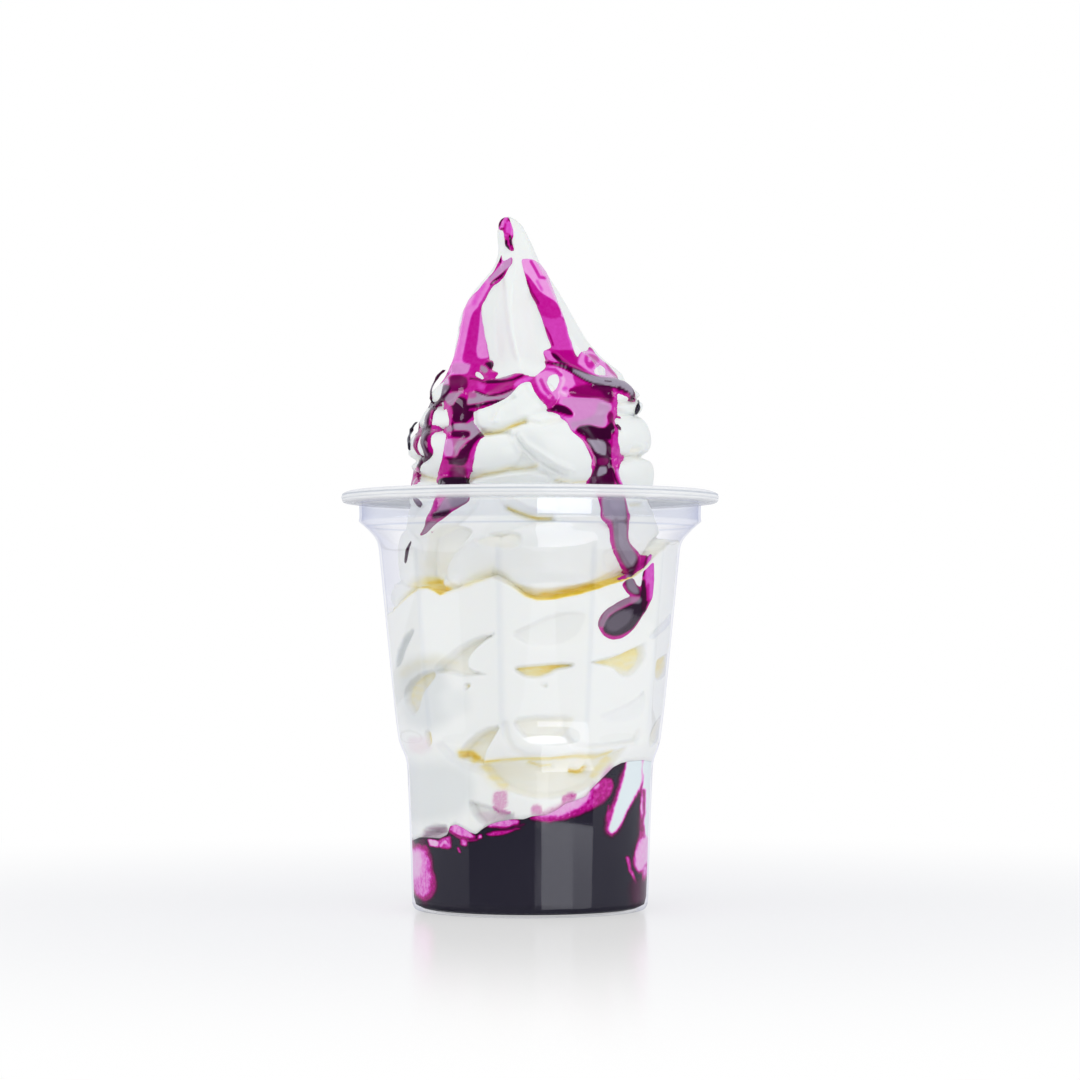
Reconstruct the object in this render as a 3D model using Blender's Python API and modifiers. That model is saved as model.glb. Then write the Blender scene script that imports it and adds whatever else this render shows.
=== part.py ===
"""Berry sundae: soft-serve vanilla ice cream swirled into a clear ten-sided
plastic cup over a pool of dark berry syrup.

Three pieces, each one closed solid:
  cup         thin clear shell with rolled lip, collar, ten pressed panels and foot
  ice_cream   the piped swirl, from the syrup up to the leaning peak
  syrup_pool  the dark syrup in the bottom, with its uneven top

World: metres, +Z up, origin on the table under the middle of the cup.
The front of the sundae faces -Y; angles run from the front towards +X.
The working lengths below are millimetres, scaled where the meshes are made.
"""
import math

import bmesh
import bpy
import numpy as np

MM = 0.001

# ------------------------------------------------------------ cup, in mm
LIP_R = 47.5            # outer radius of the lip: the mouth is 95 mm across
LIP_TOP = 105.3         # height of the cup
WALL = 0.7              # thickness of the plastic
PANELS = 10             # flat panels pressed into the body
PANEL_EDGE = 24.5       # degrees, one ridge between two panels
PANEL_FLATNESS = 0.75   # 1 is a true flat panel, 0 a round cup
PANEL_LOW, PANEL_HIGH = 43.0, 92.0
FOOT_IN_R, FOOT_R = 23.5, 27.9
FOOT_RECESS = 1.0

# outside of the body from the collar down to the foot: (height, radius)
BODY = ((101.6, 43.1), (97.6, 43.0), (96.0, 41.3), (93.6, 39.2), (91.6, 38.45),
        (88.0, 38.1), (67.7, 36.1), (43.4, 33.6), (40.8, 32.5), (38.4, 31.35),
        (35.3, 30.8), (3.0, 29.7))

# ------------------------------------------------------ ice cream, in mm
TIP = 174.8             # height of the whole sundae
PEAK_FOOT = 134.0       # where the coils end and the drawn-out peak begins
RIDGES = 7              # ridges left by the star nozzle
TWIST = 1.05            # turns of the rope about itself in one lap of the cup
COIL_CUT = 4.2          # depth of the crease between two coils
RIDGE_CUT = 1.9         # depth of the valley between two ridges on a coil
GAP = 0.45              # clearance kept to the plastic
FIT = 0.45              # clearance kept to the syrup
SEAT_RINGS = (9.0, 17.0, 24.0)  # radii at which swirl and syrup meet

# crease heights at the front, one for each lap of the swirl
CREASES = (17.5, 38.7, 60.6, 80.3, 99.6, 121.3, 135.5, 147.0)

# outline of the swirl: (height, radius, how far its middle lies to the right)
SWIRL = ((17.0, 40.0, 0.0), (80.0, 39.0, 0.1), (84.0, 34.2, 0.4),
         (92.0, 32.8, 0.6), (100.0, 32.4, 0.4), (109.1, 31.0, 0.2),
         (118.2, 30.6, -0.3), (125.3, 28.4, 0.8), (131.0, 26.6, 0.9),
         (135.4, 23.6, 0.4), (137.4, 21.3, -0.4), (141.5, 18.6, -1.9),
         (145.5, 16.6, -2.9), (149.6, 15.0, -3.6), (153.6, 12.9, -3.8),
         (157.5, 10.2, -3.6), (160.5, 7.6, -3.2), (163.7, 5.5, -3.2),
         (167.0, 4.5, -3.6), (170.0, 3.9, -4.5), (172.4, 3.1, -5.0),
         (173.9, 1.9, -5.3), (174.6, 0.8, -5.5))


def lerp_table(z, table, column):
    heights = np.array([row[0] for row in table])
    values = np.array([row[column] for row in table])
    order = np.argsort(heights)
    return np.interp(z, heights[order], values[order])


def smooth(a, b, x):
    t = np.clip((x - a) / (b - a), 0.0, 1.0)
    return t * t * (3.0 - 2.0 * t)


def soft_min(a, b, k):
    h = np.clip(0.5 + 0.5 * (b - a) / k, 0.0, 1.0)
    return b * (1.0 - h) + a * h - k * h * (1.0 - h)


# ---------------------------------------------------------------- the cup
def panel_shape(deg, z):
    """1 on the ridge between two panels, less in the middle of a panel."""
    step = 360.0 / PANELS
    across = np.mod(np.asarray(deg) - PANEL_EDGE, step) - step / 2.0
    flat = math.cos(math.radians(step / 2.0)) / np.cos(np.radians(across))
    flat = soft_min(flat, 0.9955, 0.006)
    strength = PANEL_FLATNESS * smooth(PANEL_LOW - 3.5, PANEL_LOW + 2.5, z) \
        * (1.0 - smooth(PANEL_HIGH - 2.5, PANEL_HIGH + 3.5, z))
    return 1.0 - strength * (1.0 - flat)


def wall_in(deg, z):
    """Inner radius of the cup."""
    return lerp_table(z, BODY, 1) * panel_shape(deg, z) - WALL


def cup_profile():
    """Closed section of the shell, from the inside floor up, over the lip and
    down the outside to the middle of the base: (radius, height)."""
    floor_in = FOOT_RECESS + WALL
    inner = [(0.0, floor_in), (FOOT_IN_R - 1.0, floor_in), (FOOT_IN_R, WALL + 0.2),
             (27.6, WALL + 0.2), (28.6, 1.7), (29.0, 3.0)]
    inner += [(r - WALL, z) for z, r in sorted(BODY)[1:]]
    lip = [(42.4, 104.2), (43.2, 105.1), (44.6, LIP_TOP), (46.3, 104.7),
           (LIP_R, 103.2), (47.2, 101.9), (46.5, 101.9), (46.8, 103.1),
           (45.9, 104.1), (44.6, 104.6), (43.4, 104.3), (43.1, 103.5)]
    outer = [(r, z) for z, r in BODY]
    foot = [(29.3, 1.1), (28.7, 0.3), (FOOT_R, 0.0), (FOOT_IN_R + 0.5, 0.0),
            (FOOT_IN_R - 0.5, FOOT_RECESS), (0.0, FOOT_RECESS)]
    return inner + lip + outer + foot


def make_cup(collection):
    mesh = bpy.data.meshes.new("cup_section")
    section = bmesh.new()
    rows = [section.verts.new((r * MM, 0.0, z * MM)) for r, z in cup_profile()]
    for a, b in zip(rows, rows[1:]):
        section.edges.new((a, b))
    section.to_mesh(mesh)
    section.free()
    turned = bpy.data.objects.new("cup_turned", mesh)
    collection.objects.link(turned)
    screw = turned.modifiers.new("turn", "SCREW")
    screw.angle = math.tau
    screw.steps = screw.render_steps = PANELS * 4
    screw.use_merge_vertices = True
    screw.merge_threshold = 0.00005
    depsgraph = bpy.context.evaluated_depsgraph_get()
    body = bpy.data.meshes.new_from_object(turned.evaluated_get(depsgraph))
    bpy.data.objects.remove(turned, do_unlink=True)

    # press the panels: each turned column slides to a panel's ridge or field,
    # and moves in as far as the panel is flat there
    step = 360.0 / PANELS
    columns = np.array([0.0, 4.0, 12.5, 23.5, 32.0])
    for v in body.vertices:
        radius = math.hypot(v.co.x, v.co.y) / MM
        if radius < 0.01:
            continue
        z = v.co.z / MM
        turn = math.degrees(math.atan2(v.co.y, v.co.x))
        index = int(round(turn / (step / 4.0)))
        deg = PANEL_EDGE - 2.0 + (index // 4) * step + columns[index % 4]
        radius *= float(panel_shape(deg, z)) if z > 30.0 else 1.0
        angle = math.radians(deg - 90.0)
        v.co.x = radius * MM * math.cos(angle)
        v.co.y = radius * MM * math.sin(angle)
    cup = bpy.data.objects.new("cup", body)
    collection.objects.link(cup)
    return cup


# ------------------------------------------------- the syrup and the swirl
def syrup_top(x, y):
    """Height of the syrup under the swirl: it climbs at the right front."""
    climb = smooth(13.0, 29.0, x) * (1.0 - smooth(-6.0, 14.0, y))
    back = smooth(4.0, 28.0, y)
    return (20.6 + 0.085 * x + 13.0 * climb + 3.0 * back * np.cos(x / 13.0)
            + 0.9 * np.sin(x / 6.5 + 0.7) * np.cos(y / 9.0))


def crease_height(lap):
    laps = np.arange(len(CREASES), dtype=float)
    return np.interp(lap, laps, np.array(CREASES))


def lap_of(z):
    laps = np.arange(len(CREASES), dtype=float)
    return np.interp(z, np.array(CREASES), laps)


def swirl_point(deg, z):
    """A point of the swirl's skin, for angles and heights given as arrays."""
    turn = deg / 360.0
    radius = lerp_table(z, SWIRL, 1)
    middle = lerp_table(z, SWIRL, 2)

    # coils: each lap bulges between two creases, which climb to the right
    lap = lap_of(z) - turn
    across = lap - np.floor(lap)
    round_out = (1.0 - np.abs(2.0 * across - 1.0) ** 2.4) ** 0.55
    coil = COIL_CUT * (1.0 - round_out)

    # ridges of the star nozzle cross each coil aslant
    around = np.arccos(np.clip(1.0 - 2.0 * across, -1.0, 1.0))
    phase = RIDGES * (around - math.tau * TWIST * (turn + np.floor(lap))) + 0.6
    valley = 1.0 - np.sqrt(np.cos(phase / 2.0) ** 2 * 0.96 + 0.04)
    ridge = RIDGE_CUT * valley * round_out

    on_coils = 1.0 - smooth(PEAK_FOOT - 5.0, PEAK_FOOT + 4.0, z)
    # peak: the same ridges run up to the tip, almost straight
    upright = RIDGES * np.radians(deg + 5.0)
    groove = 1.0 - np.sqrt(np.cos(upright / 2.0) ** 2 * 0.97 + 0.03)
    fade = 1.0 - smooth(158.0, 170.0, z)
    peak = radius * 0.17 * groove * fade
    radius = radius - on_coils * (coil + ridge) - (1.0 - on_coils) * peak

    # the coils sag a little over the creases below them
    sag = 1.3 * on_coils * (round_out - 0.5) * smooth(24.0, 40.0, z)
    z = z - sag
    angle = np.radians(deg - 90.0)
    x = middle + radius * np.cos(angle)
    y = radius * np.sin(angle)

    # held by the cup wherever it would reach the wall
    reach = np.hypot(x, y)
    limit = wall_in(np.degrees(np.arctan2(x, -y)), z) - GAP
    inside = soft_min(reach, limit, 0.8)
    inside = np.where(z < LIP_TOP + 1.0, np.minimum(inside, limit), reach)
    scale = np.where(reach > 1e-6, inside / np.maximum(reach, 1e-6), 1.0)
    return x * scale, y * scale, z


def lathe_object(name, columns, low, high, collection):
    """One closed solid from a list of rings, capped by two middle points."""
    bm = bmesh.new()
    rings = [[bm.verts.new((x * MM, y * MM, z * MM)) for x, y, z in ring]
             for ring in columns]
    bottom = bm.verts.new([c * MM for c in low])
    top = bm.verts.new([c * MM for c in high])
    count = len(rings[0])
    for i in range(count):
        j = (i + 1) % count
        bm.faces.new((bottom, rings[0][j], rings[0][i]))
        bm.faces.new((top, rings[-1][i], rings[-1][j]))
        for a, b in zip(rings, rings[1:]):
            bm.faces.new((a[i], a[j], b[j]))
            bm.faces.new((a[i], b[j], b[i]))
    bmesh.ops.recalc_face_normals(bm, faces=bm.faces)
    mesh = bpy.data.meshes.new(name)
    bm.to_mesh(mesh)
    bm.free()
    thing = bpy.data.objects.new(name, mesh)
    collection.objects.link(thing)
    return thing


def make_ice_cream(collection, around=54, peak_rings=13):
    deg = np.arange(around) * 360.0 / around
    angle = np.radians(deg - 90.0)
    bm = bmesh.new()

    def ring(x, y, z):
        return [bm.verts.new((a * MM, b * MM, c * MM))
                for a, b, c in zip(x, y, z)]

    def band(a, b):
        for i in range(around):
            j = (i + 1) % around
            bm.faces.new((a[i], a[j], b[j]))
            bm.faces.new((a[i], b[j], b[i]))

    # underside, lying on the syrup
    middle = float(syrup_top(0.0, 0.0)) + FIT
    low = bm.verts.new((0.0, 0.0, middle * MM))
    under = []
    for radius in SEAT_RINGS:
        x, y = radius * np.cos(angle), radius * np.sin(angle)
        under.append(ring(x, y, syrup_top(x, y) + FIT))
    foot = syrup_top(27.0 * np.cos(angle), 27.0 * np.sin(angle)) + FIT
    edge = wall_in(deg, foot) - GAP
    x, y = edge * np.cos(angle), edge * np.sin(angle)
    foot = syrup_top(x, y) + FIT
    under.append(ring(x, y, foot))
    for i in range(around):
        bm.faces.new((low, under[0][(i + 1) % around], under[0][i]))
    for a, b in zip(under, under[1:]):
        band(a, b)

    # peak: level rings above the coils, closed at the tip
    x, y, z = swirl_point(deg, np.full(around, PEAK_FOOT))
    rings = [ring(x, y, z)]
    for level in range(1, peak_rings + 1):
        v = level / (peak_rings + 1.0)
        height = PEAK_FOOT + (TIP - PEAK_FOOT) * (1.0 - (1.0 - v) ** 1.35)
        rings.append(ring(*swirl_point(deg, np.full(around, height))))
    for a, b in zip(rings, rings[1:]):
        band(a, b)
    tip = bm.verts.new((SWIRL[-1][2] * MM, 0.0, TIP * MM))
    for i in range(around):
        bm.faces.new((tip, rings[-1][i], rings[-1][(i + 1) % around]))

    # coils: one long ribbon of faces climbs with the creases, cut off level
    # at the peak and at the syrup
    steps = (0.0, 0.06, 0.2, 0.4, 0.6, 0.8, 0.94)
    per_lap = len(steps)
    rows = [lap + step for lap in range(-1, len(CREASES)) for step in steps]
    grid = []
    for row in rows:
        z = crease_height(row + deg / 360.0)
        px, py, pz = swirl_point(deg, z)
        line = []
        for i in range(around):
            if z[i] > PEAK_FOOT - 1.2:
                line.append(rings[0][i])
            elif z[i] < foot[i] + 1.6 or row + deg[i] / 360.0 < 0.02:
                line.append(under[-1][i])
            else:
                line.append(bm.verts.new((px[i] * MM, py[i] * MM,
                                          max(pz[i], foot[i] + 0.8) * MM)))
        grid.append(line)
    for k in range(len(rows) - 1):
        for i in range(around):
            if i + 1 < around:
                corners = (grid[k][i], grid[k][i + 1],
                           grid[k + 1][i + 1], grid[k + 1][i])
            elif k + 1 + per_lap < len(rows):
                corners = (grid[k][i], grid[k + per_lap][0],
                           grid[k + 1 + per_lap][0], grid[k + 1][i])
            else:
                continue
            for tri in ((0, 1, 2), (0, 2, 3)):
                face = tuple(corners[c] for c in tri)
                if len(set(face)) == 3:
                    bm.faces.new(face)
    loose = [v for v in bm.verts if not v.link_faces]
    bmesh.ops.delete(bm, geom=loose, context="VERTS")
    bmesh.ops.recalc_face_normals(bm, faces=bm.faces)
    mesh = bpy.data.meshes.new("ice_cream")
    bm.to_mesh(mesh)
    bm.free()
    thing = bpy.data.objects.new("ice_cream", mesh)
    collection.objects.link(thing)
    return thing


def make_syrup(collection, around=54):
    # turned the other way round, so that its faces run like the swirl's
    deg = -np.arange(around) * 360.0 / around
    angle = np.radians(deg - 90.0)
    floor_in = FOOT_RECESS + WALL + 0.3
    rings = []
    for radius, z in ((22.0, floor_in), (26.8, floor_in), (28.3, 2.6)):
        rings.append(np.stack((radius * np.cos(angle), radius * np.sin(angle),
                               np.full(around, z)), 1))
    rim = syrup_top(27.5 * np.cos(angle), 27.5 * np.sin(angle))
    for part in (0.5, 1.0):
        z = 2.6 + (rim - 2.6) * part
        edge = wall_in(deg, z) - GAP
        x, y = edge * np.cos(angle), edge * np.sin(angle)
        if part == 1.0:
            z = syrup_top(x, y)
        rings.append(np.stack((x, y, z), 1))
    for radius in reversed(SEAT_RINGS):
        x, y = radius * np.cos(angle), radius * np.sin(angle)
        rings.append(np.stack((x, y, syrup_top(x, y)), 1))
    low = (0.0, 0.0, floor_in)
    high = (0.0, 0.0, float(syrup_top(0.0, 0.0)))
    return lathe_object("syrup_pool", rings, low, high, collection)


def finish(thing, colour, roughness, transmission=0.0):
    material = bpy.data.materials.new(thing.name)
    material.use_nodes = True
    shader = material.node_tree.nodes["Principled BSDF"]
    shader.inputs["Base Color"].default_value = (*colour, 1.0)
    shader.inputs["Roughness"].default_value = roughness
    shader.inputs["Metallic"].default_value = 0.0
    shader.inputs["Transmission Weight"].default_value = transmission
    thing.data.materials.clear()
    thing.data.materials.append(material)
    thing.data.shade_smooth()
    thing.data.set_sharp_from_angle(angle=math.radians(38.0))


def main():
    for old in list(bpy.data.objects):
        bpy.data.objects.remove(old, do_unlink=True)
    collection = bpy.data.collections.new("berry_sundae")
    bpy.context.scene.collection.children.link(collection)
    finish(make_cup(collection), (0.86, 0.88, 0.92), 0.08, 1.0)
    finish(make_ice_cream(collection), (0.90, 0.90, 0.86), 0.45)
    finish(make_syrup(collection), (0.035, 0.004, 0.03), 0.12)


main()
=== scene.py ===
"""Looks of the berry sundae: soft serve in a clear ten-sided cup, syrup below
and running down the peak. Lengths are worked in millimetres and scaled where
the meshes are made. The front faces -Y; angles run from the front to +X."""
import math
import bpy
import numpy as np
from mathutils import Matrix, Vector


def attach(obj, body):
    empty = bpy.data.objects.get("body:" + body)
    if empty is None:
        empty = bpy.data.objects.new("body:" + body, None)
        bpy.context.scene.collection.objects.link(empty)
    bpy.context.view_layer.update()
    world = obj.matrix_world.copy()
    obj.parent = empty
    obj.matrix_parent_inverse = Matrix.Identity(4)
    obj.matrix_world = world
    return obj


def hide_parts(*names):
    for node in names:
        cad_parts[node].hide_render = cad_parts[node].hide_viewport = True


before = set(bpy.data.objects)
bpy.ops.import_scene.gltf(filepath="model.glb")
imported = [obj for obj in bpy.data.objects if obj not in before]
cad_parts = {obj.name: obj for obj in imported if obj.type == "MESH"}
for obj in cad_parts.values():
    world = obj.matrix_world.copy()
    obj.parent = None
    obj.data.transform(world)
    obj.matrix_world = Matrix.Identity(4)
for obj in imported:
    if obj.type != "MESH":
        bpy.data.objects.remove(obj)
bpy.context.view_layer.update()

MM = 0.001

# ----------------------------------------------------------------- camera
EYE = (2.5, -840.0, 68.7)      # mm: level with the lower half of the cup
FOCAL = 3328.0                 # pixels, in a frame of 1080
TILT = math.radians(1.652)

cam_data = bpy.data.cameras.new("camera")
cam = bpy.data.objects.new("camera", cam_data)
bpy.context.scene.collection.objects.link(cam)
cam_data.sensor_width = 36.0
cam_data.lens = FOCAL / 1080.0 * 36.0
cam_data.clip_start, cam_data.clip_end = 0.05, 50.0
cam.location = [v * MM for v in EYE]
cam.rotation_euler = (math.pi / 2 + TILT, 0.0, 0.0)
bpy.context.scene.camera = cam
bpy.context.scene.view_settings.view_transform = "Standard"


def to_frame(x, y, z):
    """Where a point (mm) lies in the 1080 x 1080 frame."""
    dx, dy, dz = x - EYE[0], y - EYE[1], z - EYE[2]
    c, s = math.cos(TILT), math.sin(TILT)
    ahead = dy * c + dz * s
    up = -dy * s + dz * c
    return 540.0 + FOCAL * dx / ahead, 540.0 - FOCAL * up / ahead


# ------------------------------------------------------------ small helpers
def smooth(a, b, x):
    t = np.clip((x - a) / (b - a), 0.0, 1.0)
    return t * t * (3.0 - 2.0 * t)


def soft_min(a, b, k):
    h = np.clip(0.5 + 0.5 * (b - a) / k, 0.0, 1.0)
    return b * (1.0 - h) + a * h - k * h * (1.0 - h)


def soft_max(a, b, k):
    return -soft_min(-a, -b, k)


def table(z, rows, column):
    rows = sorted(rows)
    return np.interp(z, [r[0] for r in rows], [r[column] for r in rows])


def round_off(points, times):
    """Cuts the corners of an open run of points."""
    for _ in range(times):
        new = [points[0]]
        for (a, b), (c, d) in zip(points, points[1:]):
            new += [(a * .75 + c * .25, b * .75 + d * .25),
                    (a * .25 + c * .75, b * .25 + d * .75)]
        points = new + [points[-1]]
    return points


_rng = np.random.default_rng(71)
_waves = [(_rng.normal(size=3), _rng.uniform(0, math.tau, 2), k)
          for k in (1, 1, 1, 1.9, 1.9, 1.9, 3.7, 3.7, 3.7, 3.7)]


def unrest(x, y, z, size):
    """Smooth unevenness about 1 high, for points in mm, of a given size."""
    out = 0.0
    for d, p, k in _waves:
        f = k * math.tau / size / 1.7
        w = (d[0] * x + d[1] * y + d[2] * z) * f
        out = out + np.sin(w + p[0] + 1.3 * np.sin(w * 0.61 + p[1])) / k
    return out / 3.2


# ---------------------------------------------------------------- the cup
LIP_R, LIP_TOP, WALL = 47.5, 105.3, 0.6
PANELS, PANEL_EDGE, PANEL_FLATNESS = 10, 24.5, 0.75
PANEL_LOW, PANEL_HIGH = 43.0, 92.0
FOOT_IN_R, FOOT_R, FOOT_RECESS = 23.5, 27.9, 1.0
BODY = [(101.6, 43.1), (98.1, 43.0), (97.7, 43.25), (97.3, 43.0), (96.0, 41.3), (93.6, 39.2), (91.6, 38.45),
        (88.0, 38.1), (67.7, 36.1), (43.4, 33.6), (40.8, 32.5), (38.4, 31.35),
        (35.3, 30.8), (3.0, 29.7)]
BODY_FINE = round_off(BODY, 3)


def panel_shape(deg, z):
    step = 360.0 / PANELS
    across = np.mod(np.asarray(deg) - PANEL_EDGE, step) - step / 2.0
    flat = math.cos(math.radians(step / 2.0)) / np.cos(np.radians(across))
    flat = soft_min(flat, 0.9955, 0.006)
    strength = PANEL_FLATNESS * smooth(PANEL_LOW - 3.5, PANEL_LOW + 2.5, z) \
        * (1.0 - smooth(PANEL_HIGH - 2.5, PANEL_HIGH + 3.5, z))
    return 1.0 - strength * (1.0 - flat)


def wall_in(deg, z):
    return table(z, BODY_FINE, 1) * panel_shape(deg, z) - WALL


def mesh_object(name, verts, faces, smooth_shading=True):
    mesh = bpy.data.meshes.new(name)
    mesh.from_pydata([tuple(v) for v in (np.asarray(verts) * MM)], [], faces)
    mesh.validate()
    mesh.update()
    if smooth_shading:
        mesh.shade_smooth()
    thing = bpy.data.objects.new(name, mesh)
    bpy.context.scene.collection.objects.link(thing)
    return thing


def point_attribute(thing, name, values):
    layer = thing.data.attributes.new(name, "FLOAT", "POINT")
    layer.data.foreach_set("value", np.asarray(values, dtype=np.float32))


def make_cup(around=270):
    floor_in = FOOT_RECESS + WALL
    body = [(r, z) for z, r in BODY_FINE]            # top to bottom
    inner = round_off([(FOOT_IN_R - 1.0, floor_in), (FOOT_IN_R, WALL + 0.2),
                       (27.4, WALL + 0.2), (28.7, 1.4), (29.0, 3.0)], 2)
    inner = [(0.0, floor_in), (12.0, floor_in)] + inner \
        + [(r - WALL, z) for r, z in body[::-1]][1:]
    lip = round_off([(42.5, 103.2), (42.6, 104.6), (43.6, 105.05), (45.4, 105.2),
                     (47.0, 104.7), (47.5, 104.3), (47.3, 104.1), (47.58, 103.9),
                     (47.6, 103.35), (47.35, 103.15), (47.5, 102.9), (47.2, 102.35),
                     (46.2, 102.1), (44.2, 102.05), (43.25, 101.9)], 2)
    foot = round_off([(29.6, 1.6), (29.1, 0.35), (27.9, 0.0), (25.6, 0.0),
                      (FOOT_IN_R + 0.3, 0.0), (FOOT_IN_R - 0.7, FOOT_RECESS),
                      (22.0, FOOT_RECESS)], 2)
    rows = inner + lip + body + foot + [(12.0, FOOT_RECESS)]
    # long stretches get rows of their own, so the panels stay even
    fine = [rows[0]]
    for (a, b), (c, d) in zip(rows, rows[1:]):
        n = max(1, int(abs(d - b) // 3.0))
        fine += [(a + (c - a) * k / n, b + (d - b) * k / n)
                 for k in range(1, n + 1)]
    deg = np.arange(around) * 360.0 / around
    angle = np.radians(deg - 90.0)
    verts, faces = [(0.0, 0.0, floor_in)], []
    for r, z in fine[1:]:
        k = panel_shape(deg, z) if z > 30.0 else np.ones(around)
        verts += list(zip(r * k * np.cos(angle), r * k * np.sin(angle),
                          np.full(around, z)))
    last = len(verts)
    verts.append((0.0, 0.0, FOOT_RECESS))
    count = len(fine) - 1
    for i in range(around):
        j = (i + 1) % around
        faces.append((0, 1 + i, 1 + j))
        for k in range(count - 1):
            a = 1 + k * around
            faces.append((a + i, a + around + i, a + around + j, a + j))
        a = 1 + (count - 1) * around
        faces.append((a + i, last, a + j))
    thing = mesh_object("cup_shell", verts, faces)
    v = np.array(verts)
    r = np.hypot(v[:, 0], v[:, 1])
    curl = smooth(43.6, 45.2, r) * smooth(101.4, 102.2, v[:, 2])
    on_top = (v[:, 2] > 104.4) * (r > 42.0)
    # painted shade: two rings on top of the lip, drawn as grooves, are greyed and lose some milkiness
    groove = np.exp(-((r - 45.5) / 0.35) ** 2) + 0.6 * np.exp(-((r - 43.9) / 0.25) ** 2)
    curl = np.maximum(curl, 0.65 * smooth(101.8, 102.6, v[:, 2]) * (r < 44.0))
    under = 1.0 - 0.45 * (1.0 - smooth(102.2, 103.0, v[:, 2])) * (r > 44.0)
    point_attribute(thing, "lip", curl * under * (0.88 - 0.30 * groove * on_top))
    # painted shade: the plastic is greyed on the collar, along the edges between the panels, on the seam
    # under the collar and on lines round the lip
    z, step = v[:, 2], 360.0 / PANELS
    across = np.mod(np.degrees(np.arctan2(v[:, 0], -v[:, 1])) - PANEL_EDGE, step)
    edge = np.exp(-(np.minimum(across, step - across) / 0.9) ** 2) \
        * smooth(44.0, 47.0, z) * (1.0 - smooth(89.0, 92.0, z))
    collar = smooth(97.2, 98.0, z) * (1.0 - smooth(101.2, 101.8, z)) * (r > 40.0)
    seam = np.exp(-((z - 96.2) / 0.18) ** 2) * (r > 40.0)
    painted_rim_lines = (np.exp(-((z - 104.1) / 0.24) ** 2) + 0.5 * np.exp(-((z - 103.15) / 0.16) ** 2)) \
        * (r > 46.6)
    point_attribute(thing, "painted_shade", np.clip(0.55 * edge + 0.5 * collar + seam + painted_rim_lines
                                            + 0.9 * groove * on_top, 0.0, 1.0))
    return thing


# ------------------------------------------------------------ the ice cream
TIP = 174.8
RIDGES, TWIST, COIL_CUT, RIDGE_CUT = 7, 1.05, 4.4, 1.9
CREASES = (17.5, 39.8, 61.0, 79.8, 98.1, 119.4, 132.8, 152.8, 172.8, 192.8)
SWIRL = ((2.0, 40.0, 0.0), (79.0, 39.0, 0.1), (81.5, 34.4, 0.4),
         (84.5, 32.9, 0.7), (90.0, 32.9, 0.8), (96.0, 32.6, 0.6),
         (101.0, 31.6, 0.4), (109.1, 31.0, 0.2),
         (118.2, 30.6, -0.3), (125.3, 28.2, 0.8), (131.0, 26.4, 0.9),
         (135.4, 23.4, 0.4), (137.4, 21.1, -0.4), (141.5, 18.4, -1.9),
         (145.5, 16.5, -2.9), (149.6, 15.0, -3.6), (153.6, 12.9, -3.8),
         (157.5, 10.2, -3.6), (160.5, 7.6, -3.2), (163.7, 5.5, -3.2),
         (167.0, 4.5, -3.6), (170.0, 3.9, -4.5), (172.4, 3.1, -5.0),
         (173.9, 1.9, -5.3), (174.8, 0.4, -5.5))
SWIRL_FINE = [(float(z), float(np.interp(z, [r[0] for r in SWIRL], [r[1] for r in SWIRL])),
               float(np.interp(z, [r[0] for r in SWIRL], [r[2] for r in SWIRL])))
              for z in np.arange(2.0, 174.81, 0.4)]
_k = np.ones(7) / 7.0
_r = np.convolve(np.pad([r[1] for r in SWIRL_FINE], 3, mode="edge"), _k, "valid")
_c = np.convolve(np.pad([r[2] for r in SWIRL_FINE], 3, mode="edge"), _k, "valid")
SWIRL_FINE = [(z[0], float(a) if z[0] < 172 else z[1], float(b))
              for z, a, b in zip(SWIRL_FINE, _r, _c)]


# Where the syrup ends on the wall, in the frame as seen from the front
POOL_LINE = ((404, 830), (410, 828), (413, 840), (420, 837), (428, 837), (440, 838),
             (448, 834), (450, 826), (456, 824), (464, 828), (470, 832), (476, 834),
             (482, 829), (490, 824), (500, 821), (512, 819), (524, 819), (532, 816),
             (545, 815), (556, 810), (566, 803), (576, 800), (586, 796), (592, 788),
             (598, 782), (606, 774), (613, 767), (621, 763), (630, 761), (642, 760),
             (656, 762))


def _wall_heights():
    """Height of the syrup on the wall for every degree: the back half repeats the
    front, blended smoothly where the two meet."""
    heights = []
    for deg in range(-180, 180):
        a = math.radians(deg)
        z = 20.0
        for _ in range(12):
            r = float(np.interp(z, [q[0] for q in BODY_FINE[::-1]],
                                [q[1] for q in BODY_FINE[::-1]])) - WALL
            px, _unused = to_frame(r * math.sin(a), -abs(r * math.cos(a)), z)
            py = np.interp(px, [q[0] for q in POOL_LINE], [q[1] for q in POOL_LINE])
            ahead = 840.0 - abs(r * math.cos(a))
            z = 68.7 + (636.0 - py) * ahead / FOCAL
        heights.append(z)
    heights = np.array(heights)
    # the back half repeats the front half shifted round and softened
    degs = np.arange(-180, 180)
    kernel = np.ones(9) / 9.0
    even = np.convolve(np.pad(heights, 4, mode="wrap"), kernel, "valid")
    back = smooth(84.0, 110.0, np.abs(degs))
    return heights * (1.0 - back) + even * back


WALL_HEIGHTS = _wall_heights()


def wall_line(deg):
    deg = np.mod(np.asarray(deg, float) + 180.0, 360.0)
    low = np.floor(deg).astype(int) % 360
    t = deg - np.floor(deg)
    return WALL_HEIGHTS[low] * (1.0 - t) + WALL_HEIGHTS[(low + 1) % 360] * t


def syrup_top(x, y):
    """Top of the syrup: its line on the wall, evened out towards the middle."""
    x, y = np.asarray(x, float), np.asarray(y, float)
    r = np.hypot(x, y)
    deg = np.degrees(np.arctan2(x, -y))
    t = smooth(8.0, 28.5, r)
    return 23.0 * (1.0 - t) + wall_line(deg) * t


def crease_height(lap):
    return np.interp(lap, np.arange(float(len(CREASES))), np.array(CREASES))


def lap_of(z):
    return np.interp(z, np.array(CREASES), np.arange(float(len(CREASES))))


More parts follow.
